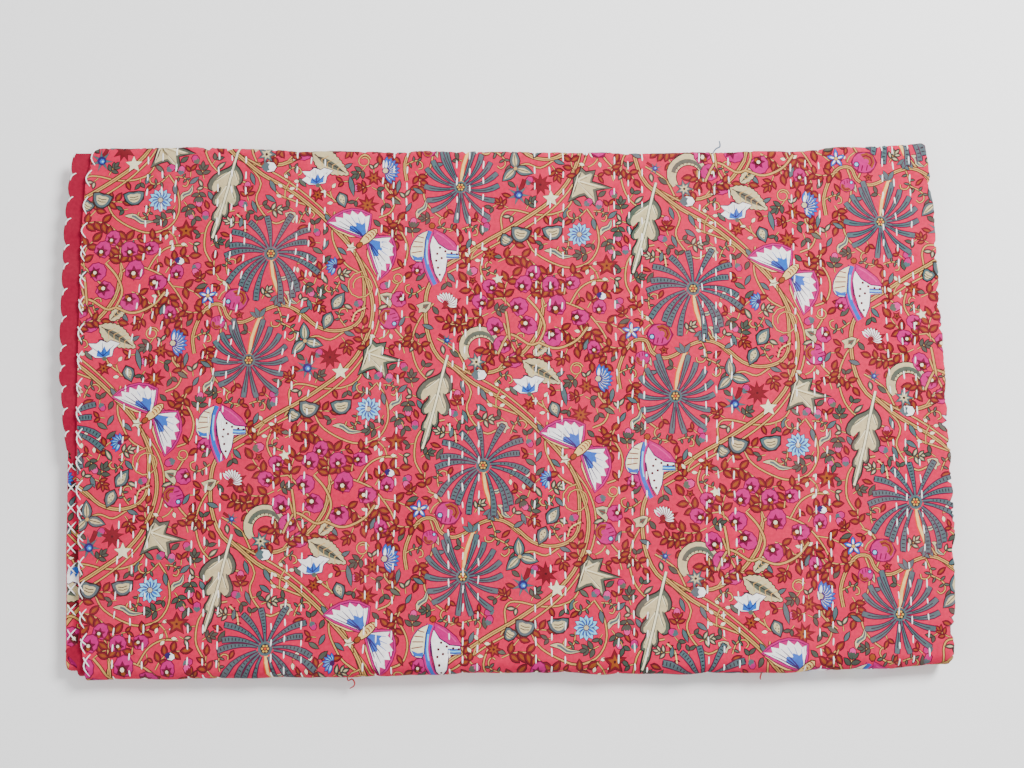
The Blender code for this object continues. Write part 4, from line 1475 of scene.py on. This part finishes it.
# flat sizes: the panels' lengths add up to the throw's 1.54 m, and their widths to its 1.28 m
TOP_LENGTH, UNDER, INNER = 0.41, (0.64, 0.38), (0.64, 0.75)
PIECES = (
    ("quilt_top_left", (UPPER_HEM, SEAM, WRAP_START, SECOND_START), (0.32, TOP_LENGTH),
     {"hems": (3,), "is_top": True, "grid_step": 0.0055}),
    ("quilt_top_right", (SEAM, FOLD_END, WRAP_START, SECOND_START), (0.33, TOP_LENGTH),
     {"is_top": True, "grid_step": 0.0055}),
    ("quilt_top_lining", (FOLD_END, LOWER_HEM, WRAP_START, SECOND_START), (0.64, TOP_LENGTH),
     {"hems": (1,), "near": 0.01, "back_step": 0.008, "side_step": 0.001}),
    ("quilt_under", (UPPER_HEM, FOLD_END, BOTTOM_START, WRAP_START), UNDER,
     {"hems": (0, 3), "smallest": 0.0055, "grid_step": 0.010}),
    ("quilt_under_lining", (FOLD_END, LOWER_HEM, BOTTOM_START, WRAP_START), UNDER, {"hems": (0, 1), "near": 0.02}),
    ("quilt_inner", (UPPER_HEM, FOLD_END, SECOND_START, THIRD_END), INNER, {"hems": (2, 3), "near": 0.02}),
    ("quilt_inner_lining", (FOLD_END, LOWER_HEM, SECOND_START, THIRD_END), INNER, {"hems": (1, 2), "near": 0.02}),
)
for obj, flat in [(cloth_piece(name, *span, **how), flat) for name, span, flat, how in PIECES]:
    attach(obj, ROOT)
    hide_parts(NODE)

# ---------------------------------------------------------------- running stitches
THREAD_WHITE = (0.90, 0.87, 0.87, 1.0)
SIDES = 6
TILT = np.linspace(0, 2 * math.pi, SIDES, endpoint=False)
TOP_PART, LAST_ACROSS = (-0.205, 0.205), 0.3125  # how far along and across the top panel stitches go
DASH_STATIONS = np.array((0.0, 0.09, 0.24, 0.5, 0.76, 0.91, 1.0))
DASH_LIFT = np.array((-0.0006, -0.00015, 0.00018, 0.00030, 0.00018, -0.00015, -0.0006))
DASH_HALF = np.array((0.00028, 0.00045, 0.00056, 0.00060, 0.00056, 0.00045, 0.00028))
DASH_THICK = 0.00042
THREAD_ROUND, THREAD_LENGTH = 0.0004, 0.008  # of a thread on the cloth's map: one side of it, all of it


def tube_mesh(name, rings, colours):
    """One mesh of many threads with closed ends. rings is threads x rings x sides x 3."""
    tubes, count = rings.shape[:2]
    ends = np.concatenate((rings[:, :1].mean(axis=2), rings[:, -1:].mean(axis=2)), axis=1)
    per = count * SIDES + 2
    places = np.concatenate((rings.reshape(tubes, -1, 3), ends), axis=1).reshape(-1, 3)
    faces = []
    for s in range(count - 1):
        for k in range(SIDES):
            a, b = s * SIDES + k, s * SIDES + (k + 1) % SIDES
            faces += [(a, b, b + SIDES), (a, b + SIDES, a + SIDES)]
    last = (count - 1) * SIDES
    for k in range(SIDES):
        faces += [(per - 2, (k + 1) % SIDES, k), (per - 1, last + k, last + (k + 1) % SIDES)]
    faces = np.array(faces)
    every = (faces[None] + np.arange(tubes)[:, None, None] * per).reshape(-1, 3)
    cloth = np.stack(np.meshgrid(np.arange(SIDES) * THREAD_ROUND, np.linspace(0, THREAD_LENGTH, count)), axis=-1)
    cloth = np.concatenate((cloth.reshape(-1, 2), ((0, 0), (0, THREAD_LENGTH))))[faces].reshape(1, -1, 2)
    maps = {"cloth": np.tile(cloth, (tubes, 1, 1)).reshape(-1, 2)}
    obj = mesh_object(name, places, every, np.repeat(colours, len(faces), axis=0), maps, THREAD)
    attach(obj, ROOT)


def running_stitches():
    """Every dash on the top panel and its wrap."""
    across, along, lift = [], [], []
    draw = random.Random(12)
    for row in ROWS:
        for start, end, turn in zip(row.starts, row.ends, row.turns):
            if start < TOP_PART[0] or end > TOP_PART[1]:
                continue
            there = start + (end - start) * DASH_STATIONS
            beside = row.place(there) + turn * (there - (start + end) / 2)
            if beside.max() > LAST_ACROSS:
                continue
            size = draw.uniform(0.9, 1.12)
            across.append(beside[:, None] + DASH_HALF[:, None] * size * np.cos(TILT))
            along.append(np.repeat(there[:, None], SIDES, axis=1))
            thick = np.minimum(DASH_THICK, DASH_HALF)[:, None] * size * np.sin(TILT)
            lift.append(CLOTH / 2 + (relief(beside, there) + DASH_LIFT)[:, None] + thick)
    places = folded(np.array(across), np.array(along), np.array(lift))
    tube_mesh("stitches_top", places, np.tile(THREAD_WHITE, (len(places), 1)))


running_stitches()

# ---------------------------------------------------------------- threads along the hems
CROSS_STITCHES = (0.1877, 0.1715, 0.1507, 0.1316, 0.1141, 0.0941, 0.0749, 0.0543, 0.0339, 0.0139, -0.0052, -0.0235,
                  -0.0409, -0.0612, -0.0777, -0.0971, -0.1156, -0.1326, -0.1530, -0.1705, -0.1852)
CROSSED_BELOW = 0.118
THIRD_CROSSES = (-0.0436, -0.0596, -0.0741, -0.0886, -0.1030, -0.1180, -0.1327, -0.1472, -0.1649)
THIRD_EDGE, THIRD_LEAN = -0.3204, 0.042  # x of the third layer's hem at y = -0.04, and its slope
STRAND, TAIL = 0.00050, 0.00055  # half the thickness of the hem's thread and of the loose ends
LEFTMOST_TOP = -0.326


def thread_paths(name, paths, half, colours, count=9, flatness=0.75):
    """Threads along world paths, each pinched at its ends."""
    rings = []
    for path in paths:
        line = curve(path, count)
        way = unit(np.gradient(line, axis=0))
        side = unit(np.cross(way, (0.0, 0.0, 1.0)))
        up = np.cross(side, way)
        size = (half * (1 - 0.4 * np.linspace(-1, 1, count) ** 4))[:, None, None]
        out = side[:, None] * np.cos(TILT)[None, :, None] + up[:, None] * np.sin(TILT)[None, :, None] * flatness
        rings.append(line[:, None] + out * size)
    tube_mesh(name, np.array(rings), np.array(colours))


def on_top(x, y, high=0.0):
    """A world place over the top panel."""
    across, along = np.array([float(x)]), np.array([float(y)])
    return folded(across, along, CLOTH / 2 + relief(across, along) + high)[0]


def below_top(x, y, level, high):
    """A world place over a lower layer: level 1 is the second layer, 2 the third."""
    place = on_top(max(x, LEFTMOST_TOP), y)
    place[0] = x - MIDDLE[0]
    place[2] -= level * LAYER_PITCH - high
    return place


def hem_at(column, y):
    return float(strip_ends(np.array([float(y)]), np.array([NEAR_HEM]))[column][0])


def hem_stitches():
    """The cross stitches on the upper hem. Those near the back have one arm."""
    draw = random.Random(3)
    paths = []
    for middle in CROSS_STITCHES:
        tall, reach = draw.uniform(0.0060, 0.0076), draw.uniform(0.0030, 0.0042)
        edge = hem_at(0, middle)
        arms = [((reach, tall, -0.0003), (reach * 0.45, tall * 0.62, 0.0005), (-0.0002, tall * 0.1, 0.0003),
                 (0.0004, -(tall * 0.4), 0.0005), (reach * 0.8, -tall, -0.0003))]
        if middle < CROSSED_BELOW:
            rise = draw.uniform(0.0022, 0.0046)
            arms.append(((reach * 0.9, -(rise * 0.4), -0.0003), (reach * 0.4, rise * 0.3, 0.0008),
                         (-0.0006, rise, 0.0002), (-0.0010, rise * 1.25, -0.0012)))
        paths += [tuple(on_top(edge + x, middle + y, high) for x, y, high in arm) for arm in arms]
    return paths


def whip_stitches():
    """The short stitches in the valleys of the scallops, and the crosses on the third layer."""
    draw = random.Random(8)
    paths = []
    for along, depth in SCALLOPS[:-1]:
        path = [below_top(hem_at(1, along) + depth + 0.0010, along + 0.0010, 1, -0.0004)]
        for drop, inset, high in ((0.0003, 0.0002, 0.0004), (0.0022, 0.0001, 0.0004),
                                  (draw.uniform(0.0040, 0.0052), 0.0, -0.0008)):
            beside = hem_at(1, along - drop) + float(drawn_in(np.array([along - drop]))[0])
            path.append(below_top(beside + inset, along - drop, 1, high))
        paths.append(tuple(path))
    for along in THIRD_CROSSES:
        edge = THIRD_EDGE + THIRD_LEAN * (-0.04 - along)
        for way in (1, -1):
            rise = draw.uniform(0.0034, 0.0048) * way
            paths.append((below_top(edge - 0.0006, along - rise, 2, -0.0010),
                          below_top(edge + 0.0006, along - rise * 0.6, 2, 0.0007),
                          below_top(edge + 0.0036, along + rise * 0.3, 2, 0.0011 + 0.0003 * way),
                          below_top(edge + 0.0062, along + rise, 2, 0.0004)))
    return paths


hem_paths = hem_stitches() + whip_stitches()
thread_paths("hem_stitches", hem_paths, STRAND, [THREAD_WHITE] * len(hem_paths))

# loose ends at the back and front edges
BLUE_TAIL, RED_TAIL = (0.05, 0.11, 0.19, 1.0), (0.42, 0.008, 0.02, 1.0)
TAILS = (
    (((0.1560, 0.1915, 0.0172), (0.1585, 0.1948, 0.0178), (0.1612, 0.1962, 0.0176), (0.1616, 0.1985, 0.0174),
      (0.1612, 0.2012, 0.0168)), BLUE_TAIL),
    (((-0.1137, -0.1935, 0.0120), (-0.1130, -0.1972, 0.0120), (-0.1100, -0.1962, 0.0118), (-0.1084, -0.1990, 0.0105),
      (-0.1092, -0.2016, 0.0090), (-0.1122, -0.2034, 0.0080)), RED_TAIL),
    (((0.1837, -0.1885, 0.0120), (0.1838, -0.1920, 0.0120), (0.1832, -0.1950, 0.0110), (0.1836, -0.1968, 0.0100)),
     RED_TAIL),
)
thread_paths("loose_threads", [np.array(path) - MIDDLE for path, _ in TAILS], TAIL, [colour for _, colour in TAILS],
             count=14, flatness=1.0)

# ---------------------------------------------------------------- floor, light and camera
FLOOR_DROP, FLOOR_HALF = 0.0004, 2
CAMERA_AT, CAMERA_TILT = (0.0085, -0.0777, 0.8207), 6.6
FOCAL, SENSOR = 1100 / 1024, 36.0  # focal length as a share of the photo's width, sensor's width in mm
WORLD_LIGHT = 0.85


def added(name, data):
    obj = bpy.data.objects.new(name, data)
    bpy.context.scene.collection.objects.link(obj)
    return obj


def area_light(name, place, size, power):
    light = bpy.data.lights.new(name, "AREA")
    light.shape, light.size, light.energy = "DISK", size, power
    obj = added(name, light)
    obj.location = place
    obj.rotation_euler = (-Vector(place)).to_track_quat("-Z", "Y").to_euler()


floor_mesh = bpy.data.meshes.new("floor")
floor_mesh.from_pydata([(x * FLOOR_HALF, y * FLOOR_HALF, -FLOOR_DROP) for x, y in ((-1, -1), (1, -1), (1, 1), (-1, 1))],
                       [], [(0, 1, 2, 3)])
floor = added("floor", floor_mesh)
floor_mesh.materials.append(new_material("pale_floor", Base_Color=(0.96, 0.96, 0.962, 1), Roughness=0.9)[0])

area_light("key", (0.95, 0.85, 1.25), 0.6, 56)
area_light("fill", (-1.1, -0.7, 1.6), 1.4, 8)
world = bpy.data.worlds.new("studio")
bpy.context.scene.world = world
world.use_nodes = True
background = world.node_tree.nodes["Background"].inputs
background[0].default_value, background[1].default_value = (1, 1, 1, 1), WORLD_LIGHT

camera = added("camera", bpy.data.cameras.new("camera"))
camera.data.sensor_width, camera.data.lens, camera.data.clip_start = SENSOR, FOCAL * SENSOR, 0.01
camera.location = CAMERA_AT
camera.rotation_euler = (math.radians(CAMERA_TILT), 0, 0)
bpy.context.scene.camera = camera
